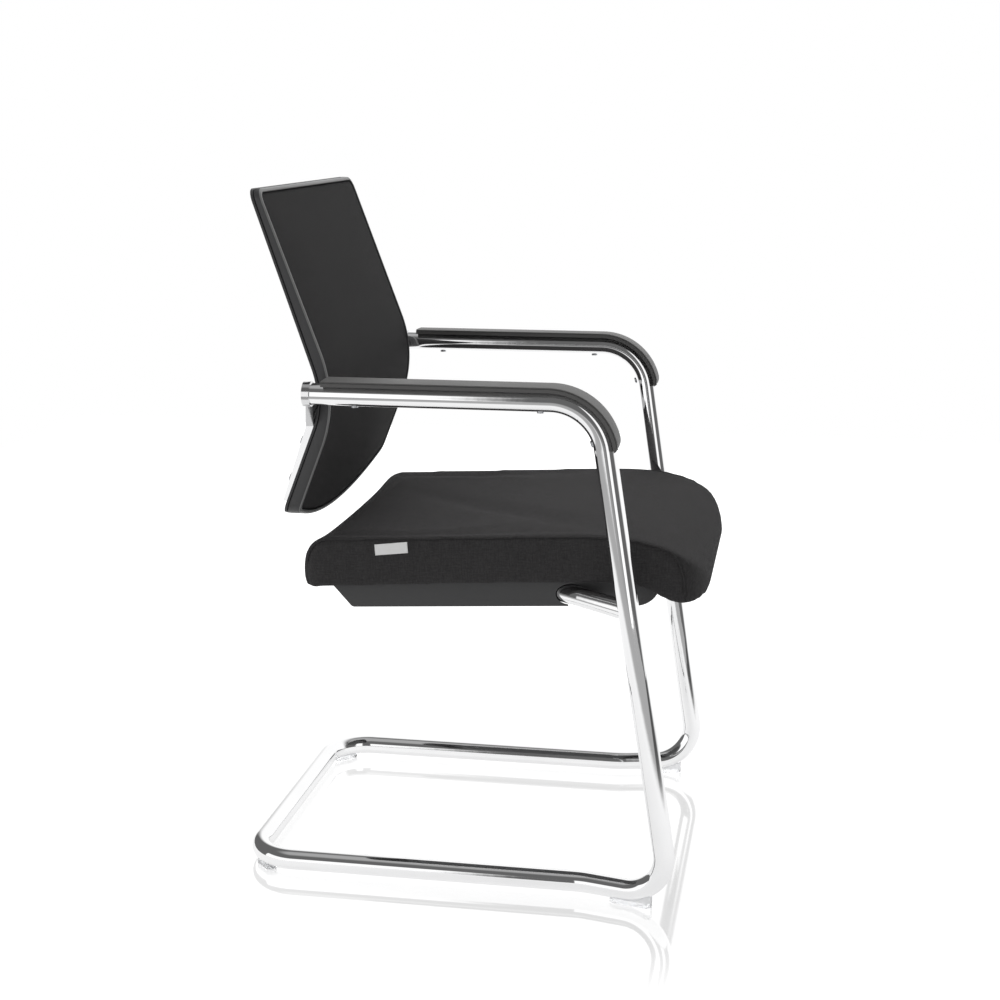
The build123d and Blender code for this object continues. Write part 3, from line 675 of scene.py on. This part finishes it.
seat_cushion = piece_from("seat_cushion", seat_form(), round_columns=True)
remeshed(seat_cushion, seat_voxel)
s, y, h = seat_coordinates(points_of(seat_cushion.data))
at_seam = (np.abs(beyond_seam(s, h)) < seam_held) & (np.abs(y) > seat_half_width - seam_zone)
below = h < np.minimum(0, seat_limits(s)[1]) + seat_staple_height
swell(seat_cushion, np.where(at_seam | below, 1.0, 0.0), seat_swell)
subdivided(seat_cushion, 1)
s, y, h = seat_coordinates(points_of(seat_cushion.data))
outside = beyond_seam(s, h)
on_side = np.clip((np.abs(y) - seat_half_width + seam_zone) / seam_zone_fade, 0, 1)
tuck = seam_tuck * np.exp(-((outside + seam_tuck_offset) / seam_tuck_width) ** 2) * on_side
across_crease = (s - crease_middle[0]) * cos(crease_turn) + (y - crease_middle[1]) * sin(crease_turn)
along_crease = (y - crease_middle[1]) * cos(crease_turn) - (s - crease_middle[0]) * sin(crease_turn)
crease = np.exp(-(across_crease / crease_width) ** 2 - (along_crease / crease_length) ** 4)
on_top = np.clip(h / seat_height, 0, 1) ** 4
set_points(seat_cushion.data, on_seat(s, y - np.sign(y) * tuck, h - crease_depth * crease * on_top))
on_band = (outside < 0) & (np.abs(y) > seat_limits(s)[2] - seat_band_edge)
down_front = np.where((s > front_turn_s) & ~on_band, front_turn_h - h, 0)
lay_weave(seat_cushion, np.where(on_band, h + band_shift, y), s + down_front)
weave_pitch = 0.0014
seat_weave = black_weave("seat_weave", weave_pitch, 1.0)
seat_cushion.data.materials.append(seat_weave)
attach(seat_cushion, "root")
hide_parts("seat_cover", "seat_foam")


# Seat side seams
# The top panel's edge is folded over the side band and sewn through, in the cover's own black weave.
# It stands up as a thin rolled edge down each side.
seam_radius = 0.0013
seam_count = 10
seam_hold = 0.003
seam_proud = 0.0007
seam_below_top = 0.0015
seam_near = 0.012
seam_least_y = 0.08


def drawn_on(path, points):
    """Path moved on to a surface: each of its points goes to the mean of the surface's points, weighed by a
    bell curve of how much farther they are than the nearest one."""
    gap = (path ** 2).sum(axis=1)[:, None] + (points ** 2).sum(axis=1) - 2 * path @ points.T
    weight = np.exp(-(gap - gap.min(axis=1, keepdims=True)) / seam_hold ** 2)
    return weight @ points / weight.sum(axis=1, keepdims=True)


def side_of_seat(s, h):
    """How far out the seat's side is at s and h: flat, bulged a little, and rounded at the top edge."""
    top, bottom, half = seat_limits(s)
    up = np.clip((h - bottom) / (top - bottom), 0, 1)
    over = np.clip(h - (top - seat_edge_round), 0, seat_edge_round)
    edge = seat_edge_round - np.sqrt(seat_edge_round ** 2 - over ** 2)
    return half + seat_side_bulge * 4 * up * (1 - up) - edge


seam_turn = np.linspace(0, pi / 2, 90)
front_s = seam_front_start + seam_front_run * np.sin(seam_turn) ** (2 / 3)
rear_s = seam_rear_start - seam_rear_run * np.sin(seam_turn[:70]) ** (2 / 3)
level_s = np.linspace(seam_rear_start, seam_front_start, 150)[1:-1]
seam_s = np.concatenate([rear_s[::-1], level_s, front_s])
seam_h = np.minimum(seam_height(seam_s), seat_limits(seam_s)[0] - seam_below_top)
for side_name, side in sides.items():
    by_seam = (np.abs(outside) < seam_near) & (side * y > seam_least_y)
    seam_path = on_seat(seam_s, side * side_of_seat(seam_s, seam_h), seam_h)
    seam_path = drawn_on(seam_path, points_of(seat_cushion.data)[by_seam])
    seam_path = seam_path + (0, side * seam_proud, seam_proud)
    seam = closed_bar("seat_seam_" + side_name, round_bar(seam_path, seam_radius, seam_count))
    run = points_of(seam.data)
    lay_weave(seam, run[:, 1] + run[:, 2], run[:, 0])
    seam.data.materials.append(seat_weave)
    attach(seam, "root")


# Blank tag
# A small white tag of woven satin tape, sewn flat to the right side band just under the seam.
# It carries no words.
tag_length = 0.041
tag_height = 0.013
tag_middle_s = -0.087
tag_middle_h = 0.0455
tag_proud = 0.0006
tag_thickness = 0.0005
tag_rib = 0.0005
tag_clear = 0.02
tag_turn = radians(3.5)


def white_tape():
    """Satin tape: fine ribs along the tape and a slightly grey, handled tone."""
    finish = finish_named("white_tape")
    cloth = finish.node("ShaderNodeUVMap", {"uv_map": "weave"}, {})
    rib = 0.5 + 0.5 * finish.sine(finish.axis(cloth, "Y") * (2 * pi / tag_rib))
    handled = finish.mottle(cloth, 0.012)
    return finish.close({
        "Base Color": finish.tint(0.3 * rib + 0.7 * handled, (0.86, 0.86, 0.85), (0.97, 0.97, 0.97)),
        "Roughness": 0.7 + 0.15 * rib,
        "Normal": finish.relief(rib, 0.00005),
    })


tag_along = tag_length * np.linspace(-0.5, 0.5, 30)[:, None]
tag_up = tag_height * np.linspace(-0.5, 0.5, 12)[None, :]
tag_s = tag_middle_s + tag_along * cos(tag_turn) - tag_up * sin(tag_turn)
tag_h = tag_middle_h + tag_along * sin(tag_turn) + tag_up * cos(tag_turn)
tag = piece_from("seat_tag", on_seat(tag_s, -seat_half_width - tag_clear, tag_h))
lie = tag.modifiers.new("lie", "SHRINKWRAP")
lie.target = seat_cushion
lie.wrap_method = "PROJECT"
lie.use_project_y = True
lie.use_positive_direction = True
lie.use_negative_direction = False
lie.offset = tag_proud
lie.wrap_mode = "ABOVE_SURFACE"
thicken = tag.modifiers.new("thicken", "SOLIDIFY")
thicken.thickness = tag_thickness
thicken.offset = 0.0
settle(tag)
s, y, h = seat_coordinates(points_of(tag.data))
lay_weave(tag, s, h)
tag.data.materials.append(white_tape())
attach(tag, "root")
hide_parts("seat_label")


# Cover under the seat
# Black plastic tray, formed in one piece, that hides the board and the rails.
# Four small screws hold it to the board.
def grained_plastic(name, dark, light, grain, rough, shine):
    """Moulded plastic: an etched grain over the surface, and slow changes of tone and shine."""
    finish = finish_named(name)
    place = finish.place()
    etched = finish.mottle(place, grain, 2.0)
    handled = finish.mottle(place, 0.07)
    return finish.close({
        "Base Color": finish.tint(0.5 * etched + 0.5 * handled, dark, light),
        "Roughness": rough + 0.15 * handled,
        "Specular IOR Level": shine,
        "Normal": finish.relief(etched, 0.0001),
    })


tray_dark = (0.026, 0.026, 0.027)
tray_light = (0.056, 0.056, 0.058)
tray_plastic = grained_plastic("tray_plastic", tray_dark, tray_light, 0.0009, 0.42, 0.7)
dress(tray_plastic, "seat_under_cover")
dress(zinc, "under_cover_screws")


# Back brackets
# Chromed castings, each bolted to a steel plug in the end of the arm.
# A leg on each is screwed to the back of the backrest.
dress(chrome_plate("bracket_chrome", 0.30, 0.79), "back_bracket_left", "back_bracket_right")
dress(zinc, "arm_end_plug_left", "arm_end_plug_right", "bracket_bolts")


# Backrest shell and band
# The rear cover and the band round the padding are moulded in grained black plastic, with rounded edges and
# a fine parting line between them. A stiff panel inside takes the screws. The rim's rounded outer edge is
# drawn in a lighter grey plastic as a painted highlight.
back_half_width = 0.21175
back_top = 0.8645
back_side_bottom = 0.476
back_bow = 0.033
back_corner = 0.016
back_waist = 0.614
back_front_x = -0.1506
back_rear_x = -0.1713
back_front_angles = (radians(20.5), radians(21.0))
back_rear_angles = (radians(19.0), radians(21.1))
back_front_radius = 0.163
back_rear_radius = 0.110
shell_thickness = 0.004
shell_edge = 0.0013
parting = 0.0004
rim_width = 0.0045
rim_outer_round = 0.0020
rim_inner_round = 0.0012
band_rear_round = 0.0006
band_inner_gap = 0.0002
band_inner_depth = 0.010
back_count = 480
face_steps = 24


def back_face(z, corner, angles, radius):
    """Side view of a backrest face: two straight runs that lean back from the waist, joined by an arc."""
    upper, lower = angles
    reach = radius * tan((upper + lower) / 2)
    top_z = back_waist + reach * cos(upper)
    low_z = back_waist - reach * cos(lower)
    middle_x = corner - reach * sin(upper) - radius * cos(upper)
    middle_z = top_z - radius * sin(upper)
    above = corner - (z - back_waist) * tan(upper)
    under = corner - (back_waist - z) * tan(lower)
    round_x = middle_x + np.sqrt(np.maximum(radius ** 2 - (z - middle_z) ** 2, 0))
    return np.where(z > top_z, above, np.where(z < low_z, under, round_x))


def back_front(z):
    return back_face(z, back_front_x, back_front_angles, back_front_radius)


def back_rear(z):
    return back_face(z, back_rear_x, back_rear_angles, back_rear_radius)


def back_outline(inset):
    """Outline of the backrest in front view, drawn in by an inset: straight sides and top, rounded corners
    and a bottom edge that is one wide arc. Points are evenly spread along it."""
    half = back_half_width - inset
    corner = back_corner - inset
    wide = (back_half_width ** 2 + back_bow ** 2) / (2 * back_bow)
    middle = back_side_bottom - back_bow + wide
    fillet_z = middle - sqrt((wide - back_corner) ** 2 - (half - corner) ** 2)
    swing = np.arctan2(fillet_z - middle, half - corner)
    turn = np.linspace(0, pi / 2, 30)
    low_turn = np.linspace(swing, 0, 30)
    corner_y = half - corner
    top_z = back_top - back_corner
    top_corner = np.stack([corner_y + corner * np.cos(turn), top_z + corner * np.sin(turn)])
    low_corner = np.stack([corner_y + corner * np.cos(low_turn), fillet_z + corner * np.sin(low_turn)])
    sweep = np.linspace(-pi / 2, swing, 60)
    bottom = np.stack([(wide - inset) * np.cos(sweep), middle + (wide - inset) * np.sin(sweep)])
    right = np.concatenate([bottom, low_corner, top_corner], 1)
    whole = np.concatenate([right, right[:, ::-1] * [[-1], [1]], right[:, :1]], 1)
    step = np.hypot(*np.diff(whole))
    run = np.concatenate([[0], np.cumsum(step)])
    spread = np.linspace(0, run[-1], back_count, endpoint=False)
    return np.stack([np.interp(spread, run, whole[0]), np.interp(spread, run, whole[1])], 1)


def back_rings(insets, shares):
    """Outlines of the backrest, one per inset, each drawn towards the middle by its share."""
    middle = np.array([0.0, (back_top + back_side_bottom) / 2])
    outlines = np.stack([back_outline(inset) for inset in insets])
    return middle + (outlines - middle) * np.asarray(shares)[:, None, None]


quarter = np.linspace(0, pi / 2, 7)
inward = np.linspace(1, 0, face_steps)
flat = np.ones(face_steps)
both_edges = np.ones(2 * len(quarter))
shell_depth = shell_thickness - parting
shell_insets = shell_edge * np.concatenate([flat, 1 - np.sin(quarter), 1 - np.cos(quarter), flat])
shell_shares = np.concatenate([inward[::-1], both_edges, inward])
shell_depths = np.concatenate([
    0 * flat, shell_edge * (1 - np.cos(quarter)), shell_depth - shell_edge * (1 - np.sin(quarter)),
    shell_depth * flat,
])
rings = back_rings(shell_insets, shell_shares)
shell_x = back_rear(rings[..., 1]) + shell_depths[:, None] / cos(back_rear_angles[0])
shell = piece_from("back_shell_cover", np.concatenate([shell_x[..., None], rings], -1), round_columns=True)
back_dark = (0.030, 0.030, 0.031)
back_light = (0.062, 0.062, 0.064)
fine_grain = 0.0007
back_plastic = grained_plastic("back_plastic", back_dark, back_light, fine_grain, 0.42, 0.5)
shell.data.materials.append(back_plastic)
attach(shell, "root")
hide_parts("back_shell")

band_insets = np.concatenate([
    [band_rear_round, 0.0], rim_outer_round * (1 - np.cos(quarter)),
    rim_width - rim_inner_round * (1 - np.sin(quarter)), np.full(2, rim_width + band_inner_gap),
])
from_front = np.concatenate([[0, 0], both_edges, [1, 0]])
band_depths = np.concatenate([
    [0.0, band_rear_round], -rim_outer_round * (1 - np.sin(quarter)),
    -rim_inner_round * (1 - np.cos(quarter)), [-band_inner_depth, 0.0],
])
rings = back_rings(band_insets, np.ones(len(band_insets)))
front_x = back_front(rings[..., 1])
rear_x = back_rear(rings[..., 1]) + (shell_thickness + parting) / cos(back_rear_angles[0])
band_x = np.where(from_front[:, None] > 0, front_x, rear_x) + band_depths[:, None]
band_grid = np.concatenate([band_x[..., None], rings], -1)
band = piece_from("back_band", band_grid, round_rows=True, round_columns=True)
band.data.materials.append(back_plastic)
# Painted highlight: the rim's rounded outer edge gets a lighter grey than the band, for the light line it
# catches.
rim_highlight_dark = (0.14, 0.14, 0.14)
rim_highlight_light = (0.24, 0.24, 0.24)
rim_highlight_plastic = grained_plastic("rim_highlight_plastic", rim_highlight_dark, rim_highlight_light, fine_grain, 0.30, 0.6)
band.data.materials.append(rim_highlight_plastic)
on_rim_highlight = np.zeros((len(band_insets), back_count), int)
on_rim_highlight[2:2 + len(quarter)] = 1
band.data.polygons.foreach_set("material_index", on_rim_highlight.ravel())
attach(band, "root")
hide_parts("back_frame")

panel_dark = (0.02, 0.02, 0.02)
panel_light = (0.04, 0.04, 0.04)
panel_plastic = grained_plastic("panel_plastic", panel_dark, panel_light, 0.0015, 0.55, 0.45)
dress(panel_plastic, "back_board")


def turned_brass():
    """Turned brass, dulled in patches."""
    finish = finish_named("turned_brass")
    dull = finish.mottle(finish.place(), 0.002)
    return finish.close({
        "Base Color": finish.tint(dull, (0.52, 0.36, 0.15), (0.78, 0.60, 0.30)),
        "Metallic": 1.0,
        "Roughness": 0.25 + 0.25 * dull,
        "Normal": finish.relief(dull, 0.00003),
    })


brass = turned_brass()
dress(brass, "back_inserts")
dress(zinc, "back_screws")


# Backrest padding
# Thin foam glued to the panel under the same woven cover as the seat's, drawn darker than the seat's as
# painted shade.
# The cover is stretched tight and tucked in behind the rim all round.
pad_gap = 0.0004
pad_depth = 0.008
pad_sink = 0.0012
pad_edge = 0.004
pad_crown = 0.0022

pad_arc = np.linspace(0, pi / 2, 8)
pad_insets = rim_width + pad_gap + pad_edge * np.concatenate([flat, 1 - np.sin(pad_arc), [0], flat])
pad_shares = np.concatenate([inward[::-1], 0 * pad_arc + 1, [1], inward])
rings = back_rings(pad_insets, pad_shares)
dome = 1 - np.clip(pad_shares, 0, 1)[:, None] ** 4
behind = np.full(face_steps + 1, pad_depth)
level = np.concatenate([0 * flat, pad_edge * (1 - np.cos(pad_arc)), behind])[:, None] + pad_sink
is_front = np.concatenate([flat, 0 * pad_arc + 1, 0 * behind])[:, None]
pad_x = back_front(rings[..., 1]) - level + is_front * pad_crown * dome
back_padding = piece_from("back_padding", np.concatenate([pad_x[..., None], rings], -1), round_columns=True)
# Painted shade: the back's copy of the seat's weave is drawn at 0.42 of its tone, darker than the seat's.
back_padding.data.materials.append(black_weave("back_weave_painted_shade", weave_pitch, 0.42))
run = points_of(back_padding.data)
lay_weave(back_padding, run[:, 1], run[:, 2] / cos(back_front_angles[0]))
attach(back_padding, "root")
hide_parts("back_cover", "back_foam")


# Arm pads
# Grained dark grey plastic strips that follow the arm and its bend, each a cap over a skirt with a fine
# groove between them. Screws through the tube, with their heads under the arms, go into nuts moulded in the
# pads.
arm_pad_rear = -0.1572
arm_pad_overrun = 0.002
arm_pad_half_width = 0.0185
arm_pad_low = 0.0118
arm_pad_top = 0.0180
arm_pad_edge = 0.0010
arm_pad_crown = 0.0004
groove_level = 0.0168
groove_height = 0.0007
groove_depth = 0.0012
tube_seat = 0.01305
nose_run = 0.011
nose_drop = 0.0065
arm_pad_end_level = 0.0150


def arm_line(side):
    """Line of the arm from the pad's rear end to its front end: a straight run, then the tube's bend in the
    plane of arm and upright, then a short way down. Gives places, directions away from the tube, and
    distances to the front end."""
    corner = half_frame[1] * [1, side, 1]
    foot = half_frame[2] * [1, side, 1]
    ahead = np.array([1.0, 0.0, 0.0])
    down = (foot - corner) / np.linalg.norm(foot - corner)
    whole_turn = np.arccos(down @ ahead)
    inward = down - ahead * (down @ ahead)
    inward = inward / np.linalg.norm(inward)
    start = corner - ahead * arm_bend * tan(whole_turn / 2)
    middle = start + inward * arm_bend
    straight = np.linspace(arm_pad_rear - start[0], 0, 60, endpoint=False)[:, None]
    turn = np.linspace(0, whole_turn, 60)[:, None]
    after = np.linspace(0, arm_pad_overrun, 4)[1:, None]
    bent = middle + arm_bend * (np.sin(turn) * ahead - np.cos(turn) * inward)
    away = np.sin(turn) * ahead - np.cos(turn) * inward
    places = np.concatenate([start + straight * ahead, bent, bent[-1] + after * down])
    aways = np.concatenate([-inward + 0 * straight, away, away[-1] + 0 * after])
    gone = np.concatenate([straight[:, 0], arm_bend * turn[:, 0], arm_bend * whole_turn + after[:, 0]])
    return places, aways, np.cross(ahead, inward), gone[-1] - gone


def arm_pad_section():
    """Closed outline of the pad square to the arm, across and away from the tube's axis: skirt, groove, cap
    with rounded edges and a slight crown, and a hollow that sits on the tube."""
    edge = np.linspace(0, pi / 2, 6)
    side = np.array([
        [arm_pad_half_width, arm_pad_low],
        [arm_pad_half_width, groove_level - groove_height],
        [arm_pad_half_width - groove_depth, groove_level - groove_height],
        [arm_pad_half_width - groove_depth, groove_level],
        [arm_pad_half_width, groove_level],
    ])
    corner = np.stack([
        arm_pad_half_width - arm_pad_edge * (1 - np.cos(edge)),
        arm_pad_top - arm_pad_edge * (1 - np.sin(edge)),
    ], 1)
    half = np.concatenate([side, corner])
    across = np.linspace(1, -1, 16)[1:-1] * (arm_pad_half_width - arm_pad_edge)
    top = np.stack([across, arm_pad_top + arm_pad_crown * (1 - (across / arm_pad_half_width) ** 2)], 1)
    mouth = np.arccos(arm_pad_low / tube_seat)
    angle = np.linspace(-mouth, mouth, 24)
    hollow = tube_seat * np.stack([np.sin(angle), np.cos(angle)], 1)
    return np.concatenate([half, top, half[::-1] * [-1, 1], hollow])


pad_dark = (0.064, 0.063, 0.062)
pad_light = (0.100, 0.098, 0.096)
pad_plastic = grained_plastic("pad_plastic", pad_dark, pad_light, fine_grain, 0.40, 0.8)
section = arm_pad_section()
for side_name, side in sides.items():
    places, aways, across, to_end = arm_line(side)
    height = np.clip((section[:, 1] - arm_pad_low) / (arm_pad_top - arm_pad_low), 0, None)
    level = section[:, 1] - rounding(to_end[:, None], nose_run, nose_drop) * height
    grid = places[:, None] + section[:, :1] * across + level[..., None] * aways[:, None]
    middle = places[[0, -1]] + arm_pad_end_level * aways[[0, -1]]
    ends = np.repeat(middle[:, None], len(section), 1)
    grid = np.concatenate([ends[:1], grid, ends[1:]])
    arm_pad = piece_from("arm_pad_cap_" + side_name, grid, round_columns=True)
    arm_pad.data.set_sharp_from_angle(angle=radians(35))
    arm_pad.data.materials.append(pad_plastic)
    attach(arm_pad, "root")
    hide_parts("arm_pad_" + side_name)
dress(brass, "arm_pad_inserts")
dress(zinc, "arm_pad_screws")


# Floor and light
# Polished white floor that fades into a white surround, under one broad soft lamp from above and behind.
# The room on the camera's side is dim, with soft boxes that give the chrome its streaks.
floor_half_width = 1.9
floor_near = -1.5
floor_far = 3.0
floor_level = -0.0002
floor_shine = 0.34
floor_shade = 0.34
floor_glow = 1.42
floor_dim = 0.38
mirror_fade = (-0.52, -0.30)
mirror_reach = (0.46, 0.62)
shade_fade = (0.65, 1.25)
dim_fade = (0.82, 1.08)
rear_white = (0.10, 0.50)
right_dim = (0.70, 0.95)
right_dim_front = (-0.50, 0.10, 0.08)
right_dark = 0.8
floor_tone = (0.9, 0.9, 0.9, 1.0)
floor_blur = 0.06
mirrored_glow = 1.1


def white_ground():
    """White floor: the camera sees it glow white, with a part that takes the shadow near the chair and a
    part that mirrors the chair, which fades out in front. Mirrors see it dimmer towards the camera."""
    finish = finish_named("white_ground")
    place = finish.place()
    front = finish.axis(place, "Y")
    away = finish.node("ShaderNodeVectorMath", {"operation": "LENGTH"}, {0: place}, "Value")
    polish = floor_shine * finish.rise(front, *mirror_fade) * (1 - finish.rise(away, *mirror_reach))
    shade = floor_shade * (1 - finish.rise(away, *shade_fade))
    near = 1 - finish.rise(away, *dim_fade)
    lit = near + (1 - near) * finish.rise(front, *rear_white)
    east = finish.axis(place, "X")
    dark = right_dark * finish.rise(east, *right_dim) * finish.band(front, *right_dim_front)
    dimmed = (floor_dim + (1 - floor_dim) * lit) * (1 - dark)
    white = (1.0, 1.0, 1.0, 1.0)
    matt = finish.node("ShaderNodeBsdfDiffuse", {}, {"Color": floor_tone})
    glow = finish.node("ShaderNodeEmission", {}, {"Color": white, "Strength": floor_glow})
    sheen = finish.node("ShaderNodeEmission", {}, {"Color": white, "Strength": mirrored_glow * dimmed})
    mirror = finish.node("ShaderNodeBsdfGlossy", {}, {"Color": white, "Roughness": floor_blur})
    shaded = finish.node("ShaderNodeMixShader", {}, {0: shade, 1: glow, 2: matt})
    polished = finish.node("ShaderNodeMixShader", {}, {0: polish, 1: shaded, 2: mirror})
    reflected = finish.node("ShaderNodeMixShader", {}, {0: shade, 1: sheen, 2: matt})
    seen = finish.ray("Is Camera Ray")
    glossy = finish.ray("Is Glossy Ray")
    clear = finish.ray("Is Transmission Ray")
    mirrored = finish.node("ShaderNodeMixShader", {}, {0: glossy + clear, 1: matt, 2: reflected})
    surface = finish.node("ShaderNodeMixShader", {}, {0: seen, 1: mirrored, 2: polished})
    finish.node("ShaderNodeOutputMaterial", {}, {"Surface": surface})
    return finish.made


floor_mesh = bpy.data.meshes.new("floor")
floor_corners = [
    (-floor_half_width, floor_near, floor_level), (floor_half_width, floor_near, floor_level),
    (floor_half_width, floor_far, floor_level), (-floor_half_width, floor_far, floor_level),
]
floor_mesh.from_pydata(floor_corners, [], [(0, 1, 2, 3)])
floor_mesh.materials.append(white_ground())
floor = bpy.data.objects.new("floor", floor_mesh)
scene.collection.objects.link(floor)

lamp_place = (-0.4, 0.9, 2.3)
lamp_turn = (radians(-26), radians(-10), 0.0)
lamp_size = 1.8
lamp_power = 34.0
lamp = bpy.data.objects.new("key_lamp", bpy.data.lights.new("key_lamp", "AREA"))
lamp.data.size = lamp_size
lamp.data.energy = lamp_power
lamp.location = lamp_place
lamp.rotation_euler = lamp_turn
lamp.visible_glossy = False
scene.collection.objects.link(lamp)

diffuse_level = 0.46
diffuse_lean = (-0.28, -0.20)
room_level = 0.13
mirror_white = 1.06
left_box_round = (-1.30, -0.19, 0.03)
left_box_up = (-0.28, 0.45, 0.06)
right_box_round = (0.36, 0.80, 0.04)
right_box_up = (-0.40, 0.60, 0.06)
ceiling_up = (0.95, 1.25)
far_floor_round = (-2.60, 0.70, 0.05)
far_floor_up = (-0.34, -0.10)
left_box_level = 1.0
right_box_level = 0.95
ceiling_level = 0.27
far_floor_level = 0.27
behind_turn = 0.55
behind_edge = (0.45, 0.75)


def white_surround():
    """Surround by direction, in radians round from the camera's side and up from the floor. The camera sees
    white. Mirrors see white behind the chair, and in front of it a dim room with two soft boxes, a pale
    ceiling and a grey far floor. Matt surfaces get a soft light that leans to the camera's left."""
    finish = Finish(bpy.data.worlds.new("white_surround"))
    way = finish.node("ShaderNodeTexCoord", {}, {}, "Generated")
    east = finish.axis(way, "X")
    north = finish.axis(way, "Y")
    high = finish.axis(way, "Z")
    round_way = finish.node("ShaderNodeMath", {"operation": "ARCTAN2"}, {0: east, 1: -1 * north})
    up_way = finish.node("ShaderNodeMath", {"operation": "ARCSINE"}, {0: high})
    left_box = finish.band(round_way, *left_box_round) * finish.band(up_way, *left_box_up)
    right_box = finish.band(round_way, *right_box_round) * finish.band(up_way, *right_box_up)
    ceiling = finish.rise(up_way, *ceiling_up)
    far_floor = finish.band(round_way, *far_floor_round) * (1 - finish.rise(up_way, *far_floor_up))
    room = room_level + left_box_level * left_box + right_box_level * right_box
    room = room + ceiling_level * ceiling + far_floor_level * far_floor
    behind = finish.rise(north + behind_turn * east, *behind_edge)
    mirror_view = mirror_white * behind + (1 - behind) * room
    seen = finish.ray("Is Camera Ray")
    glossy = finish.ray("Is Glossy Ray")
    clear = finish.ray("Is Transmission Ray")
    mirrored = glossy + clear
    plain = 1 - seen - mirrored
    soft_light = diffuse_level + diffuse_lean[0] * east + diffuse_lean[1] * north
    strength = seen + mirrored * mirror_view + plain * soft_light
    light = finish.node("ShaderNodeBackground", {}, {"Color": (1.0, 1.0, 1.0, 1.0), "Strength": strength})
    finish.node("ShaderNodeOutputWorld", {}, {"Surface": light})
    return finish.made


scene.world = white_surround()
scene.view_settings.view_transform = "Standard"
